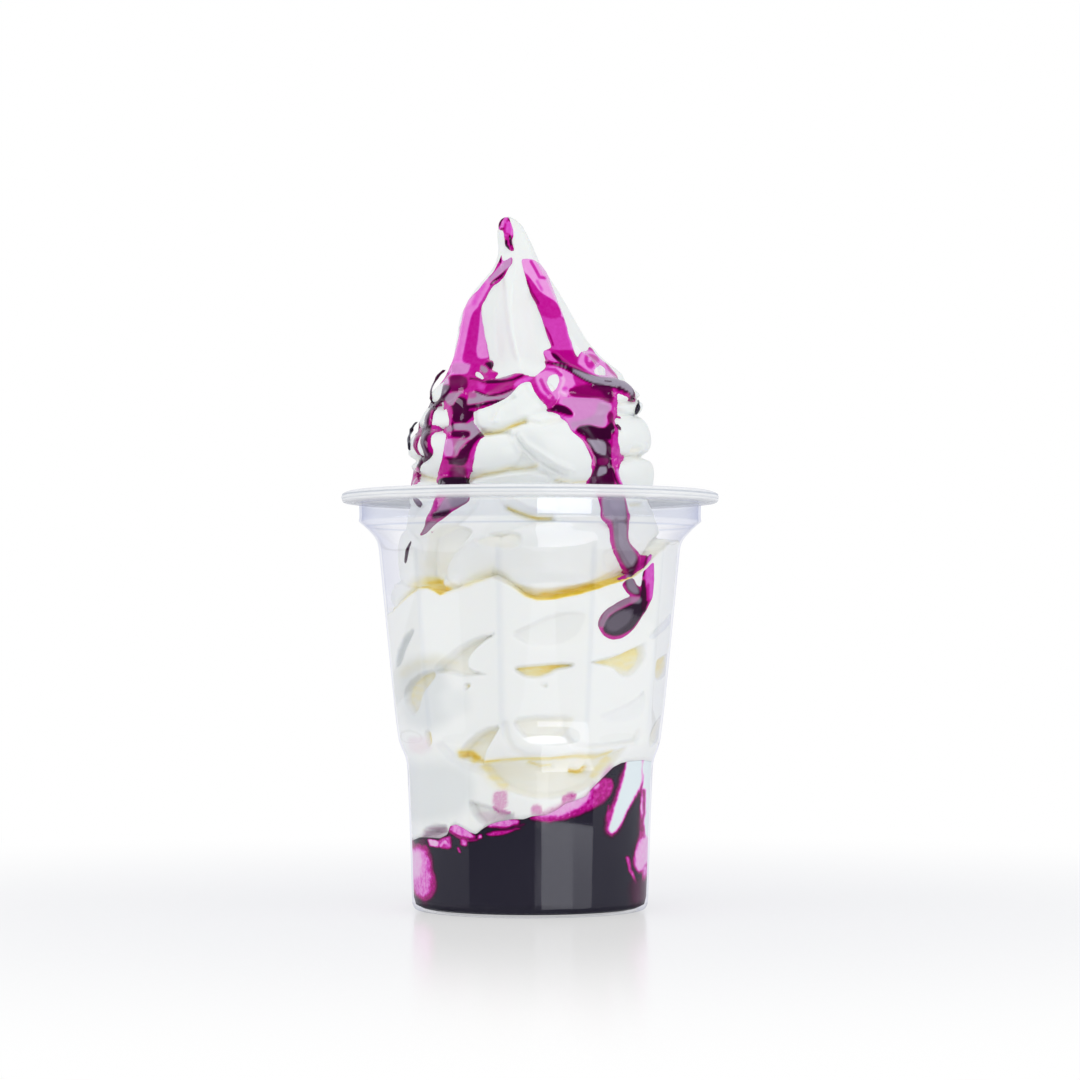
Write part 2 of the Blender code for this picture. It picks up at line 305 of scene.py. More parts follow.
# Seen from the front the folds are worked one by one, in the frame's pixels.
# The line below which the cream is pressed against the plastic:
PRESS_LINE = ((380, 618), (392, 612), (400, 603), (409, 595), (418, 589), (427, 587),
              (434, 590), (440, 594), (458, 589), (480, 582), (497, 577), (504, 580),
              (513, 586.6), (525, 595.5), (537, 599), (554, 598), (578, 593.5),
              (600, 587), (617, 580.5), (626, 576), (634, 566), (642, 552), (652, 541),
              (664, 540), (676, 548))
# painted warm shade: how yellow the crease along that line is painted
PRESS_SHADE = ((390, 0.1), (405, 0.55), (412, 0.6), (420, 0.45), (428, 0.95), (441, 0.95),
              (448, 0.35), (462, 0.38), (480, 0.45), (500, 0.36), (512, 0.40), (530, 0.85),
              (545, 1.0), (600, 1.0), (622, 0.95), (632, 0.4), (660, 0.1))

# Hollows, where a fold stands off: depth (mm), painted warm shade (yellow) in it,
# direction in which it gets shallower, share of depth lost on the way, outline
HOLLOWS = (
    (3.2, 0.0, (0.8, 0.6), 0.45, [(414.5, 628), (403.8, 637), (397, 652.8), (396, 668),
                                 (401, 663), (405.5, 648), (411, 637)]),
    (1.7, 0.52, (0.6, 0.8), 0.4, [(433.3, 669.4), (419.9, 673.2), (409.5, 681.3),
                                  (404.1, 690.3), (404.1, 702), (413.5, 716), (419.9, 707),
                                  (422.5, 693), (436, 676)]),
    (2.8, 0.25, (0.5, 0.85), 0.55, [(498, 633), (478.9, 637), (462.8, 645), (449.4, 655),
                                    (434, 667.5), (437.3, 673.9), (449.4, 672.5),
                                    (465.4, 677), (477.5, 675.5), (488, 673.7),
                                    (473.5, 671.5), (466.8, 667), (468.1, 658.1),
                                    (473.5, 650), (484.2, 641)]),
    (1.2, 0.8, (0, 1), 0.3, [(464.4, 683), (471.8, 684), (465.4, 692.6)]),
    (1.5, 0.05, (0.1, 1), 0.95, [(510, 633.2), (527, 626), (545.9, 616.5), (567.4, 611),
                                 (592, 613), (592, 639.4), (572.7, 645.8), (545.9, 648),
                                 (526, 645)], 0.75),
    (2.4, 0.84, (0, 1), 0.5, [(512.5, 667), (535.2, 664.8), (556.6, 663.3), (574.7, 663.3),
                              (572.4, 667.6), (557.6, 669.6), (549, 675), (538, 678.6),
                              (527, 677.6), (518, 673)]),
    (0.8, 0.5, (0, 1), 0.3, [(538.2, 684), (549, 683.6), (546, 688.6)]),
    (2.2, 0.62, (0.1, 1), 0.4, [(588.2, 662.4), (607.6, 658), (620, 655), (632, 649),
                                (645, 644), (645.8, 656.8), (643, 663), (635, 672.5),
                                (627.7, 676.6), (620, 674.7), (614.6, 668), (602.6, 665.6)]),
    (0.9, 0.72, (0, 1), 0.4, [(656.2, 659.8), (664, 655), (672, 651), (670.3, 667),
                              (662, 680), (655, 680)]),
    (1.8, 0.25, (0.2, 1), 0.9, [(511.5, 719.8), (530, 716.8), (546, 716), (577.4, 715.6),
                                (571, 727), (564.7, 737), (556.6, 742.6), (540.5, 744),
                                (523.5, 737)], 0.6),
    (1.1, 0.0, (0.1, 1), 0.9, [(597.5, 716.6), (612, 711), (625, 705.5), (636, 699.5),
                                (645, 690), (646, 706), (640, 718), (615, 724),
                                (604, 722)]),
    (3.0, 0.42, (0.6, 0.8), 0.35, [(500.5, 725.5), (488.2, 728), (476.2, 734.5),
                                   (467.1, 742.5), (459.8, 751), (459.4, 758),
                                   (473.5, 761), (482.5, 764.7), (485.2, 752),
                                   (493.3, 738)]),
    (3.4, 0.30, (0.25, 1), 0.55, [(474.5, 760.7), (484.2, 762), (500.3, 758.5),
                                  (524.5, 757), (551.3, 757), (578, 752.4), (600, 753),
                                  (618, 749), (630, 745), (622, 757), (607.6, 768),
                                  (600, 779), (591.5, 787), (578, 793.5), (556.6, 799),
                                  (535.2, 799.5), (513.7, 793.5), (496.6, 785),
                                  (485.9, 771.8)], 0.0, 6.0),
    (0.6, 0.4, (0, 1), 0.4, [(648, 738), (655, 722), (663, 712), (664, 722), (658, 742),
                             (650, 750)]),
    (1.8, 0.9, (0, 1), 0.4, [(424, 732), (430, 730), (432, 744), (427, 748)]),
    (4.4, 0.0, (0, 1), 0.2, [(421, 833), (428, 827), (438, 825), (449, 827), (449, 836),
                             (440, 842), (424, 842)]),
    (2.6, 0.05, (0.3, 1), 0.4, [(468, 801), (480, 804), (492, 808), (503, 812),
                                (512, 814), (527, 818), (520, 823), (492, 828),
                                (480, 822), (473, 814)]),
    # above the pressed part, and above the rim
    (3.4, 0.10, (-0.4, -0.9), 0.35, [(431, 533), (426, 557), (425.7, 577), (429, 588),
                                     (441, 588), (445, 577), (451, 560), (466, 541),
                                     (474, 530), (450, 524)]),
    (1.3, 0.22, (0, 1), 0.4, [(475, 540), (496, 532), (522, 533), (523, 546), (508, 551.5),
                              (496, 548), (482, 546)]),
    (0.7, 0.05, (0, 1), 0.4, [(597, 552), (606, 548), (617, 552), (617, 568), (606, 573),
                              (598, 566)]),
    (1.2, 0.5, (0, 1), 0.5, [(625, 503), (642, 502), (643, 507), (628, 509)]),
    (1.0, 0.25, (0, 1), 0.4, [(622, 447), (634, 446), (636, 453), (624, 455)]),
)
# Creases and raised edges: height (mm, minus is a crease), painted warm shade
# (yellow), half width (px), line
EDGES = (
    (-1.9, 0.62, 3.2, [(483, 434), (492, 433.4), (501.2, 431.3), (515.6, 425.2),
                       (525, 422)]),
    (-0.9, 0.1, 3.0, [(525, 422), (540, 425), (552, 421), (563, 418)]),
    (-1.7, 0.50, 3.4, [(469, 479), (481.9, 474.6), (496.4, 472.2), (508.4, 468.6),
                       (525.3, 468.6), (536, 466)]),
    (1.2, 0.0, 3.6, [(476, 482), (492, 478.5), (510, 476), (530, 474.5), (546, 478)]),
    (-1.1, 0.45, 2.6, [(556, 480), (572, 482.4), (588, 482)]),
    (-1.6, 0.6, 2.8, [(417, 475), (428, 478.4), (442, 481)]),
    (-1.6, 0.15, 3.2, [(616, 459), (630, 456.5), (642, 457), (654, 458)]),
    (1.0, 0.0, 3.4, [(512.4, 430), (516, 441), (520.5, 449.3), (530, 461.4),
                     (544.5, 471.5), (556, 477)]),
    (0.8, 0.0, 3.0, [(521, 437), (527, 445.5), (539.7, 455), (551.8, 464.3),
                     (567, 471.5)]),
    (-0.8, 0.0, 2.6, [(517, 436), (523, 446), (534, 457.6), (548, 467.5), (562, 474.6)]),
    (0.9, 0.0, 3.2, [(520.5, 390), (511, 401), (504, 410), (498, 421)]),
    (0.5, 0.0, 2.6, [(528, 386), (538, 398), (546, 408)]),
    (-0.9, 0.05, 2.8, [(497, 419), (503, 410), (515, 399)]),
    (-1.5, 0.7, 3.0, [(508, 508), (517, 512), (527, 515.6), (538, 518.4), (551, 518.6)]),
    (1.0, 0.0, 4.0, [(516, 499), (527, 506), (540, 511), (552, 512)]),
    (-0.5, 0.0, 2.4, [(615, 660), (630, 654), (645, 645)]),
    (-1.0, 0.0, 2.4, [(653, 636), (664, 626), (676, 612)]),
    (-0.6, 0.1, 3.0, [(564.7, 724), (565.5, 736), (573, 744.5), (589, 747.5),
                      (615.6, 745.5), (634.4, 742), (638, 733)]),
    (-0.4, 0.1, 3.6, [(505, 724), (507, 738.6), (513.7, 749.3), (524.5, 755.2),
                      (545.9, 756.8)]),
    # painted warm shade (yellow) at the lip of the hollow over the syrup and at its left foot
    (0.0, 1.0, 7.0, [(461, 754), (467, 754), (474, 759)]),
    (0.0, 0.72, 3.4, [(474, 761), (486, 762), (500, 760), (525, 759), (551, 759),
                      (566, 757)]),
    (0.0, 0.50, 10.0, [(484, 766), (492, 776), (504, 786)]),
    (0.0, 0.62, 5.0, [(560, 759), (578, 756), (600, 757), (612, 753)]),
    (0.0, 0.48, 7.0, [(596, 776), (602, 768), (612, 758)]),
    (0.0, 0.30, 9.0, [(404, 672), (418, 664), (436, 660), (452, 664)]),
    # the ridge down the front of the peak and the hollows on both sides of it
    (1.0, 0.0, 4.5, [(511, 258), (509, 280), (510, 300), (513, 330), (519, 356)]),
    (1.1, 0.0, 8.0, [(484, 292), (473, 315), (467, 340), (463, 364)]),
    (-1.1, 0.0, 11.0, [(494, 290), (489, 320), (490, 352)]),
    (-1.0, 0.0, 10.0, [(528, 300), (536, 325), (539, 352)]),
    (-0.7, 0.05, 4.0, [(441, 746), (452, 757), (466, 764), (480, 770)]),
    (-2.2, 1.0, 3.8, [(575, 771), (582, 772), (587, 771), (591, 768)]),
    (0.9, 0.0, 6.0, [(532, 776), (548, 780), (566, 782), (580, 781)]),
    (-0.7, 0.6, 3.0, [(528, 762), (540, 766), (553, 766)]),
    (0.6, 0.0, 3.5, [(611, 518), (620, 530), (630, 543)]),
    (-1.3, 0.1, 3.0, [(560, 396), (590, 402), (612, 404), (640, 398)]),
    (-1.4, 0.05, 3.0, [(412, 428), (428, 431), (446, 430)]),
    (-1.2, 0.05, 2.6, [(430, 404), (446, 408)]),
    (-1.8, 0.05, 3.6, [(402, 464), (416, 461), (428, 459)]),
)
# Rounded folds: middle x, y, half length, half width, turn of the long axis
# (degrees, up to the right), height in mm
LOBES = (
    (558, 447, 54, 29, -34, 4.0),
    (489, 453, 36, 20, 8, 3.3),
    (516, 406, 42, 22, 24, 3.6),
    (622, 437, 38, 21, 4, 2.9),
    (626, 476, 42, 21, 0, 2.7),
    (628, 400, 20, 14, -14, 2.2),
    (442, 390, 18, 14, 10, 1.5),
    (440, 417, 22, 12, 6, 1.5),
    (434, 452, 32, 22, 4, 2.3),
    (436, 492, 36, 14, 4, 1.9),
    (477, 562, 34, 20, 40, 2.9),
    (446, 512, 40, 17, 32, 2.0),
    (556, 555, 70, 34, 6, 3.2),
    (412, 560, 13, 30, 6, 2.4),
    (530, 503, 30, 13, -12, 2.2),
    (590, 506, 44, 20, 4, 1.8),
    (636, 545, 22, 34, -8, 2.2),
)


def run_distance(px, py, points, closed):
    """Distance from points of the frame to a run of points, and how far along
    that run the nearest spot lies."""
    best = np.full(px.shape, 1e9)
    along = np.zeros(px.shape)
    n = len(points)
    for k in range(n if closed else n - 1):
        (ax, ay), (bx, by) = points[k][:2], points[(k + 1) % n][:2]
        dx, dy = bx - ax, by - ay
        t = np.clip(((px - ax) * dx + (py - ay) * dy) / max(dx * dx + dy * dy, 1e-9),
                    0.0, 1.0)
        d = np.hypot(px - ax - t * dx, py - ay - t * dy)
        near = d < best
        best = np.where(near, d, best)
        along = np.where(near, k + t, along)
    return best, along


def round_loop(points, times=2):
    """Cuts the corners of a closed run of points."""
    for _ in range(times):
        new = []
        for (a, b), (c, d) in zip(points, points[1:] + points[:1]):
            new += [(a * .8 + c * .2, b * .8 + d * .2), (a * .2 + c * .8, b * .2 + d * .8)]
        points = new
    return points


def patch_distance(px, py, points):
    """How far inside (+) or outside (-) a closed outline points lie, in pixels."""
    out = np.full(px.shape, -99.0)
    xs, ys = [q[0] for q in points], [q[1] for q in points]
    near = (px > min(xs) - 14) & (px < max(xs) + 14) & (py > min(ys) - 14) \
        & (py < max(ys) + 14)
    if not near.any():
        return out
    x, y = px[near], py[near]
    loop = round_loop(list(points))
    d, _ = run_distance(x, y, loop, True)
    odd = np.zeros(x.shape, bool)
    for (ax, ay), (bx, by) in zip(loop, loop[1:] + loop[:1]):
        if ay == by:
            continue
        cross = (ay > y) != (by > y)
        odd ^= cross & (x < (bx - ax) * (y - ay) / (by - ay) + ax)
    out[near] = np.where(odd, d, -d)
    return out


def stroke_distance(px, py, points, widths):
    out = np.full(px.shape, -99.0)
    xs, ys = [q[0] for q in points], [q[1] for q in points]
    near = (px > min(xs) - 18) & (px < max(xs) + 18) & (py > min(ys) - 18) \
        & (py < max(ys) + 18)
    if not near.any():
        return out
    d, along = run_distance(px[near], py[near], points, False)
    if not hasattr(widths, "__len__"):
        widths = [widths] * len(points)
    out[near] = np.interp(along, range(len(points)), widths) - d
    return out


def paint(px, py, base, marks):
    """A value for points of the frame, from marks laid over one another: each is
    (value, softness, outline) or (value, softness, line, half width)."""
    value = np.full(px.shape, float(base))
    for mark in marks:
        if len(mark) == 3:
            d = patch_distance(px, py, mark[2])
        else:
            d = stroke_distance(px, py, mark[2], mark[3])
        value += (mark[0] - value) * smooth(-mark[1], mark[1], d)
    return value


def hollow_cut(px, py):
    """Depth (mm) and painted warm shade (yellow) of the hollows at points of the frame."""
    depth = np.zeros(px.shape)
    warm_shade = np.zeros(px.shape)
    for deep, tone, (bx, by), lost, outline, *taper in HOLLOWS:
        d = patch_distance(px, py, outline)
        xs, ys = np.array([q[0] for q in outline]), np.array([q[1] for q in outline])
        along = xs * bx + ys * by
        t = np.clip((px * bx + py * by - along.min()) / (along.max() - along.min()), 0, 1)
        ramp = smooth(-0.7, taper[1] if len(taper) > 1 else 2.2, d)
        cut = deep * ramp * (1.0 - lost * t ** 0.8)
        if taper and taper[0]:         # runs out level towards its right end
            cut = cut * np.clip((xs.max() - px) / taper[0] / (xs.max() - xs.min()), 0, 1)
        depth = np.maximum(depth, cut)
        warm_shade = np.maximum(warm_shade, tone * smooth(-0.4, 3.0, d) * (1.0 - 0.35 * t))
    return depth, warm_shade


def edge_lift(px, py):
    lift = np.zeros(px.shape)
    warm_shade = np.zeros(px.shape)
    for height, tone, wide, line in EDGES:
        near = stroke_distance(px, py, line, 0.0)          # minus the distance
        fall = np.exp(-(near / wide) ** 2 * 1.2)
        lift = lift + height * fall
        warm_shade = np.maximum(warm_shade, tone * np.exp(-(near / wide) ** 2 * 2.2))
    return lift, warm_shade


def lobe_height(px, py):
    high = np.zeros(px.shape)
    for cx, cy, a, b, turn, height in LOBES:
        c, s = math.cos(math.radians(turn)), math.sin(math.radians(turn))
        u = ((px - cx) * c - (py - cy) * s) / a
        v = ((px - cx) * s + (py - cy) * c) / b
        d = np.abs(u) ** 2.2 + np.abs(v) ** 2.0
        dome = height * np.sqrt(np.clip(1.0 - d, 0.0, 1.0))
        high = soft_max(high, dome, 0.25)
    return high


def swirl_point(deg, z, reach_in=0.12):
    """The skin of the swirl: x, y, z and how much painted warm shade, yellow to orange, a point has."""
    deg = np.mod(np.asarray(deg, float) + 180.0, 360.0) - 180.0
    z = np.asarray(z, float) + 0.0 * deg
    turn = deg / 360.0
    front = 1.0 - smooth(84.0, 106.0, np.abs(deg))
    radius = table(z, SWIRL_FINE, 1)
    middle = table(z, SWIRL_FINE, 2)
    angle = np.radians(deg - 90.0)
    rough_x, rough_y = radius * np.cos(angle), radius * np.sin(angle)
    radius = radius + 0.6 * unrest(rough_x, rough_y, z, 26.0) \
        * (1.0 - smooth(140.0, 160.0, z))

    # round the back: even laps, with the ridges of the nozzle
    level = z + 1.3 * unrest(rough_x, rough_y, z * 0.4, 20.0) * smooth(24.0, 40.0, z)
    lap = lap_of(level) - turn
    across = lap - np.floor(lap)
    round_out = (1.0 - np.abs(2.0 * across - 1.0) ** 2.6) ** 0.55
    coil = COIL_CUT * (1.0 - round_out)
    around = np.arccos(np.clip(1.0 - 2.0 * across, -1.0, 1.0))
    phase = RIDGES * (around - math.tau * TWIST * (turn + np.floor(lap))) + 0.6
    valley = np.sqrt(np.sin(phase / 2.0) ** 2 + 0.02)
    ridge = RIDGE_CUT * valley * round_out
    on_coils = 1.0 - smooth(129.0, 138.0, z)
    upright = RIDGES * np.radians(deg + 5.0) + 0.35 * np.sin(z / 9.0)
    groove = np.sqrt(np.sin(upright / 2.0) ** 2 + 0.002)
    fade = 1.0 - smooth(158.0, 171.0, z)
    peak = (1.0 - on_coils) * radius * 0.20 * groove ** 0.85 * fade
    back = radius - on_coils * (coil + ridge)
    # painted warm shade deep in the creases between the coils at the back
    crease_shade = on_coils * (1.0 - front) * smooth(0.45, 1.0, 1.0 - round_out) * 0.85

    # the front: smooth body, folds and hollows put in place
    free = radius - 2.3 * smooth(99.0, 104.0, z) \
        - 1.2 * smooth(80.0, 84.0, z) * (1.0 - smooth(99.0, 104.0, z))
    reach = np.hypot(middle + free * np.cos(angle), free * np.sin(angle))
    hold = np.where(z < LIP_TOP, np.minimum(1.0, (wall_in(deg, z) + reach_in)
                                            / np.maximum(reach, 1e-6)), 1.0)
    px, py = to_frame((middle + free * np.cos(angle)) * hold,
                      free * np.sin(angle) * hold, z)
    line_y = np.interp(px, [q[0] for q in PRESS_LINE], [q[1] for q in PRESS_LINE])
    above = line_y - py
    low = smooth(2.5, -1.5, above) * (z < 104.0)
    on_wall = np.where(z < 104.0, low, 0.0)
    lobes = lobe_height(px, py) * (1.0 - smooth(131.0, 139.0, z)) * (1.0 - on_wall)
    notch = 1.5 * np.exp(-((above - 3.0) / 4.5) ** 2) * (z < 100.0) * (1.0 - on_wall)
    folds = np.minimum(free, 34.5) * (1.0 - on_wall) + 40.0 * on_wall + lobes - notch
    folds = np.where(z < 104.0, folds, free + lobes)
    # painted warm shade (yellow) along the creases, the hollows and the line where the cream meets the
    # plastic
    lift, tint = edge_lift(px, py)
    tone = np.interp(px, [q[0] for q in PRESS_SHADE], [q[1] for q in PRESS_SHADE])
    thick = np.interp(px, (400, 430, 440, 460, 500, 530, 545, 600, 625),
                      (6, 11, 11, 5, 6, 5, 7, 6.5, 3.0))
    tint = np.maximum(tint, tone * smooth(-2.8, -0.4, above)
                      * (1.0 - smooth(0.35, 1.6, above / thick)) * (z < 104.0))
    radius = back * (1.0 - front) + folds * front
    radius = radius * (1.0 - smooth(131.0, 137.0, z)) \
        + table(z, SWIRL_FINE, 1) * smooth(131.0, 137.0, z) - peak
    x = middle + radius * np.cos(angle)
    y = radius * np.sin(angle)

    sag = 1.3 * on_coils * (round_out - 0.5) * smooth(24.0, 40.0, z) * (1.0 - front)
    z = z - sag
    reach = np.hypot(x, y)
    limit = wall_in(np.degrees(np.arctan2(x, -y)), z) + reach_in
    inside = soft_min(reach, limit, 0.7)
    inside = np.where(z < LIP_TOP + 1.0, np.minimum(inside, limit), reach)
    cut, warm_shade = hollow_cut(px, py)
    # cuts only go in, raised edges never pass the wall
    lift = np.where(z < LIP_TOP, np.minimum(lift, np.maximum(limit - inside, 0.0)), lift)
    inside = inside - cut * front + lift * front
    crease_shade = np.maximum(crease_shade, np.maximum(warm_shade, tint) * front)
    scale = np.where(reach > 1e-6, inside / np.maximum(reach, 1e-6), 1.0)
    return x * scale, y * scale, z, crease_shade


# pink where syrup has run into the cream: 0.3 pale, 1 magenta
BERRY_MARKS = (
    (0.42, 2.0, [(493, 791), (508, 791), (508, 806), (501, 812), (494, 808)]),
    (0.95, 1.2, [(494, 808), (500, 813), (509, 812.5)], 1.0),
    (0.40, 2.5, [(492, 822), (500, 812), (506, 815), (502, 824)]),
    (0.55, 1.5, [(532, 806), (541, 805), (543, 816), (531, 816)]),
    (0.60, 1.5, [(561, 797), (570, 793), (577, 795), (573, 803), (563, 806)]),
    (0.95, 1.0, [(563, 799), (570, 797), (575, 796)], 0.9),
    (0.50, 3.0, [(540, 813), (556, 806), (568, 799), (580, 803), (590, 792), (596, 782),
                 (600, 786), (588, 800), (570, 808), (552, 816), (540, 818)]),
    (0.45, 2.5, [(598, 780), (604, 770), (611, 764), (613, 768), (606, 778)]),
    (0.12, 4.0, [(407, 738), (428, 736), (431, 752), (410, 754)]),
    # the pink in the recess on the left also darkens it: painted shade as well as syrup stain
    (0.30, 2.0, [(421, 834), (430, 827), (448, 828), (448, 838), (424, 841)]),
    (0.16, 3.0, [(474, 812), (492, 812), (524, 819), (492, 827)]),
)


# painted shade: where the cream is darkened a little greyer, in hollows and low on the left
CREAM_SHADE_MARKS = (
    (0.75, 2.0, [(414.5, 628), (403.8, 637), (397, 652.8), (396, 668), (401, 663),
                 (405.5, 648), (411, 637)]),
    (0.65, 3.0, [(421, 834), (430, 827), (448, 828), (448, 838), (424, 841)]),
    (0.40, 3.0, [(474, 812), (492, 812), (524, 819), (492, 827)]),
    (0.60, 10.0, [(398, 662), (440, 655), (450, 690), (452, 718), (430, 732), (402, 724)]),
    (0.30, 8.0, [(440, 690), (468, 690), (470, 714), (442, 716)]),
    (0.55, 10.0, [(388, 762), (466, 762), (476, 790), (464, 815), (430, 824), (388, 820)]),
)


def make_swirl(name, start, stop, per_lap=44):
    """A closed length of the swirl between two heights: rows run along the laps."""
    fine = np.arange(-93.0, 93.01, 0.66)
    coarse = np.linspace(93.0, 267.0, 112)[1:-1]
    deg = np.concatenate([coarse[coarse >= 180.0] - 360.0, fine, coarse[coarse < 180.0]])
    around = len(deg)
    angle = np.radians(deg - 90.0)
    verts, tint, faces = [], [], []

    def ring(x, y, z, t):
        first = len(verts)
        verts.extend(zip(x, y, z))
        tint.extend(t)
        return list(range(first, first + around))

    low = len(verts)
    under = []
    if start is None:
        foot = wall_line(deg) + 0.05
        verts.append((0.0, 0.0, float(syrup_top(0.0, 0.0)) + 0.2))
        tint.append(0.0)
        for radius in (7.0, 14.0, 20.0, 25.0):
            x, y = radius * np.cos(angle), radius * np.sin(angle)
            under.append(ring(x, y, syrup_top(x, y) + 0.2, np.zeros(around)))
        edge = wall_in(deg, foot) + 0.1
        under.append(ring(edge * np.cos(angle), edge * np.sin(angle), foot,
                          np.zeros(around)))
    else:
        foot = np.full(around, start)
        verts.append((0.0, 0.0, start + 1.0))
        tint.append(0.0)
        x, y, z, t = swirl_point(deg, foot)
        under.append(ring(0.6 * x, 0.6 * y, z + 0.8, t))
        under.append(ring(x, y, z, t))
    top = len(verts)
    over = []
    if stop is None:
        stop = TIP
        verts.append((SWIRL_FINE[-1][2], 0.0, TIP))
        tint.append(0.0)
    else:
        verts.append((0.0, 0.0, stop - 1.0))
        tint.append(0.0)
        x, y, z, t = swirl_point(deg, np.full(around, stop))
        over.append(ring(0.6 * x, 0.6 * y, z - 0.8, t))
        over.append(ring(x, y, z, t))

    part = np.arange(per_lap) / per_lap
    steps = part - 0.15 * np.sin(math.tau * part) / math.tau
    rows = [lap + step for lap in range(-1, 10) for step in steps]
    grid = []
    for row in rows:
        z = crease_height(row + deg / 360.0)
        px, py, pz, pt = swirl_point(deg, np.clip(z, foot, stop))
        margin = 0.2 if start is not None else 1.0
        low_end = z < foot + margin
        high_end = z > stop - (0.25 if not over else 0.2)
        first = len(verts)
        line, made = [], 0
        for i in range(around):
            if high_end[i]:
                line.append(over[-1][i] if over else top)
            elif low_end[i]:
                line.append(under[-1][i])
            else:
                line.append(first + made)
                verts.append((px[i], py[i], max(pz[i], foot[i] + 0.3)
                              if start is None else pz[i]))
                tint.append(pt[i])
                made += 1
        grid.append(line)
    for a, b in zip(under, under[1:]):
        for i in range(around):
            j = (i + 1) % around
            faces.append((a[j], b[j], b[i], a[i]))
    for i in range(around):
        faces.append((low, under[0][(i + 1) % around], under[0][i]))
    for a, b in zip(over, over[1:]):
        for i in range(around):
            j = (i + 1) % around
            faces.append((a[i], b[i], b[j], a[j]))
    if over:
        for i in range(around):
            faces.append((over[0][i], over[0][(i + 1) % around], top))
    for k in range(len(rows) - 1):
        for i in range(around):
            if i + 1 < around:
                q = (grid[k][i], grid[k][i + 1], grid[k + 1][i + 1], grid[k + 1][i])
            elif k + 1 + per_lap < len(rows):
                q = (grid[k][i], grid[k + per_lap][0],
                     grid[k + 1 + per_lap][0], grid[k + 1][i])
            else:
                continue
            q = tuple(dict.fromkeys(q))
            if len(q) >= 3:
                faces.append(q)
    thing = mesh_object(name, verts, faces)
    # painted warm shade in the creases and hollows
    point_attribute(thing, "crease_shade", tint)
    v = np.array(verts)
    px, py = to_frame(v[:, 0], -np.abs(v[:, 1]), v[:, 2])
    px = px + 1.0 * unrest(v[:, 0], v[:, 1], v[:, 2], 5.0)
    py = py + 1.0 * unrest(v[:, 1], v[:, 2], v[:, 0], 5.0)
    point_attribute(thing, "berry", paint(px, py, 0.0, BERRY_MARKS)
                    * (v[:, 2] < 60.0))
    # painted shade on the cream
    point_attribute(thing, "painted_cream_shade", paint(px, py, 0.0, CREAM_SHADE_MARKS) * (v[:, 2] < 80.0))
    return thing


# The syrup against the wall: 0 is cream, 0.3 pink, 0.55 magenta, 1 dark
POOL_MARKS = (
    # left edge: a pale finger with a magenta border
    (0.62, 2.5, [(409, 838), (415, 844), (424, 842), (430, 848), (433, 864), (437, 884),
                 (435, 896), (428, 902), (417, 900), (412, 885), (410, 860)]),
    (0.27, 2.5, [(410, 848), (418, 848), (425, 850), (429, 862), (431, 880), (430, 893),
                 (422, 897), (416, 893), (412, 875)]),
    (0.12, 3.0, [(412, 852), (419, 850), (423, 862), (421, 876), (415, 880), (412, 866)]),
    (0.70, 1.2, [(409, 822), (411, 834), (414, 844)], 1.2),
    (0.85, 1.5, [(419, 838), (427, 838), (425, 846), (419, 844)]),
    (0.12, 1.5, [(428, 839), (434, 839), (441, 843), (438, 848), (430, 846)]),
    (0.42, 2.0, [(438, 841), (447, 836), (452, 836), (452, 849), (441, 848)]),
    (0.20, 1.0, [(441, 846), (446, 842), (450, 846)], 1.0),
    (0.30, 1.5, [(461, 838), (468, 840), (467, 846), (461, 845)]),
    (0.45, 1.0, [(459, 848), (460, 852)], 1.2),
    (0.26, 2.0, [(449, 829), (452, 823), (462, 824), (470, 830), (477, 838), (466, 838),
                 (456, 833)]),
    (0.60, 1.5, [(450, 830), (458, 836), (467, 840), (477, 840)], 1.0),
    (0.14, 1.5, [(478, 835), (481, 835), (482, 839), (478, 839)]),
    (0.50, 1.6, [(484, 835), (495, 831), (510, 830), (522, 828), (510, 833), (495, 837)]),
    (0.82, 1.2, [(478, 829), (488, 827), (500, 828), (512, 829), (524, 824)], 1.0),
    (0.28, 2.0, [(486, 827), (494, 820), (506, 817), (520, 820), (518, 825), (505, 827)]),
    # right: the broken magenta edge
    (0.52, 2.5, [(527, 818), (546, 823), (563, 821), (582, 815), (594, 809), (605, 801),
                 (613, 791), (614, 780), (604, 778), (596, 784), (586, 797), (570, 801),
                 (555, 809), (540, 814)]),
    (0.15, 2.5, [(530, 814), (545, 817), (560, 816), (576, 810), (589, 801), (594, 790),
                 (580, 794), (566, 800), (552, 807), (538, 810)]),
    (0.16, 1.5, [(594, 788), (599, 784), (601, 786), (596, 790)]),
    (0.90, 1.5, [(592, 787), (600, 781), (608, 773), (614, 767), (622, 764), (630, 763)],
     1.0),
    # fingers of cream hanging into the syrup on the right
    (0.52, 3.5, [(631, 755), (640, 770), (641, 788), (632, 803), (625, 818), (619, 832),
                 (613, 838), (605, 832), (606, 820), (612, 804), (617, 790), (622, 772)]),
    (0.0, 1.4, [(628, 752), (644, 752), (641, 787), (631, 803), (624, 818), (618, 831),
                 (612, 835), (608, 829), (612, 818), (616, 804), (621, 788), (625, 772)]),
    (0.55, 3.0, [(640, 786), (648, 786), (652, 840), (648, 875), (636, 872), (631, 862),
                 (636, 845), (640, 820)]),
    (0.0, 1.4, [(642, 756), (660, 756), (660, 835), (648, 842), (644, 832), (642, 818),
                 (640, 805), (642, 788)]),
    (0.15, 2.0, [(640, 838), (650, 836), (650, 858), (643, 870), (634, 870), (634, 854)]),
    (0.72, 1.6, [(643, 790), (644, 812), (641, 830)], 1.3),
    (0.42, 1.5, [(627, 858), (629, 870), (636, 882)], 1.6),
    (0.30, 1.5, [(646, 868), (644, 880), (643, 893)], 1.6),
    (0.50, 1.5, [(608, 806), (609, 818)], 1.0),
    (0.86, 6.0, [(630, 878), (650, 878), (650, 905), (630, 905)]),
)


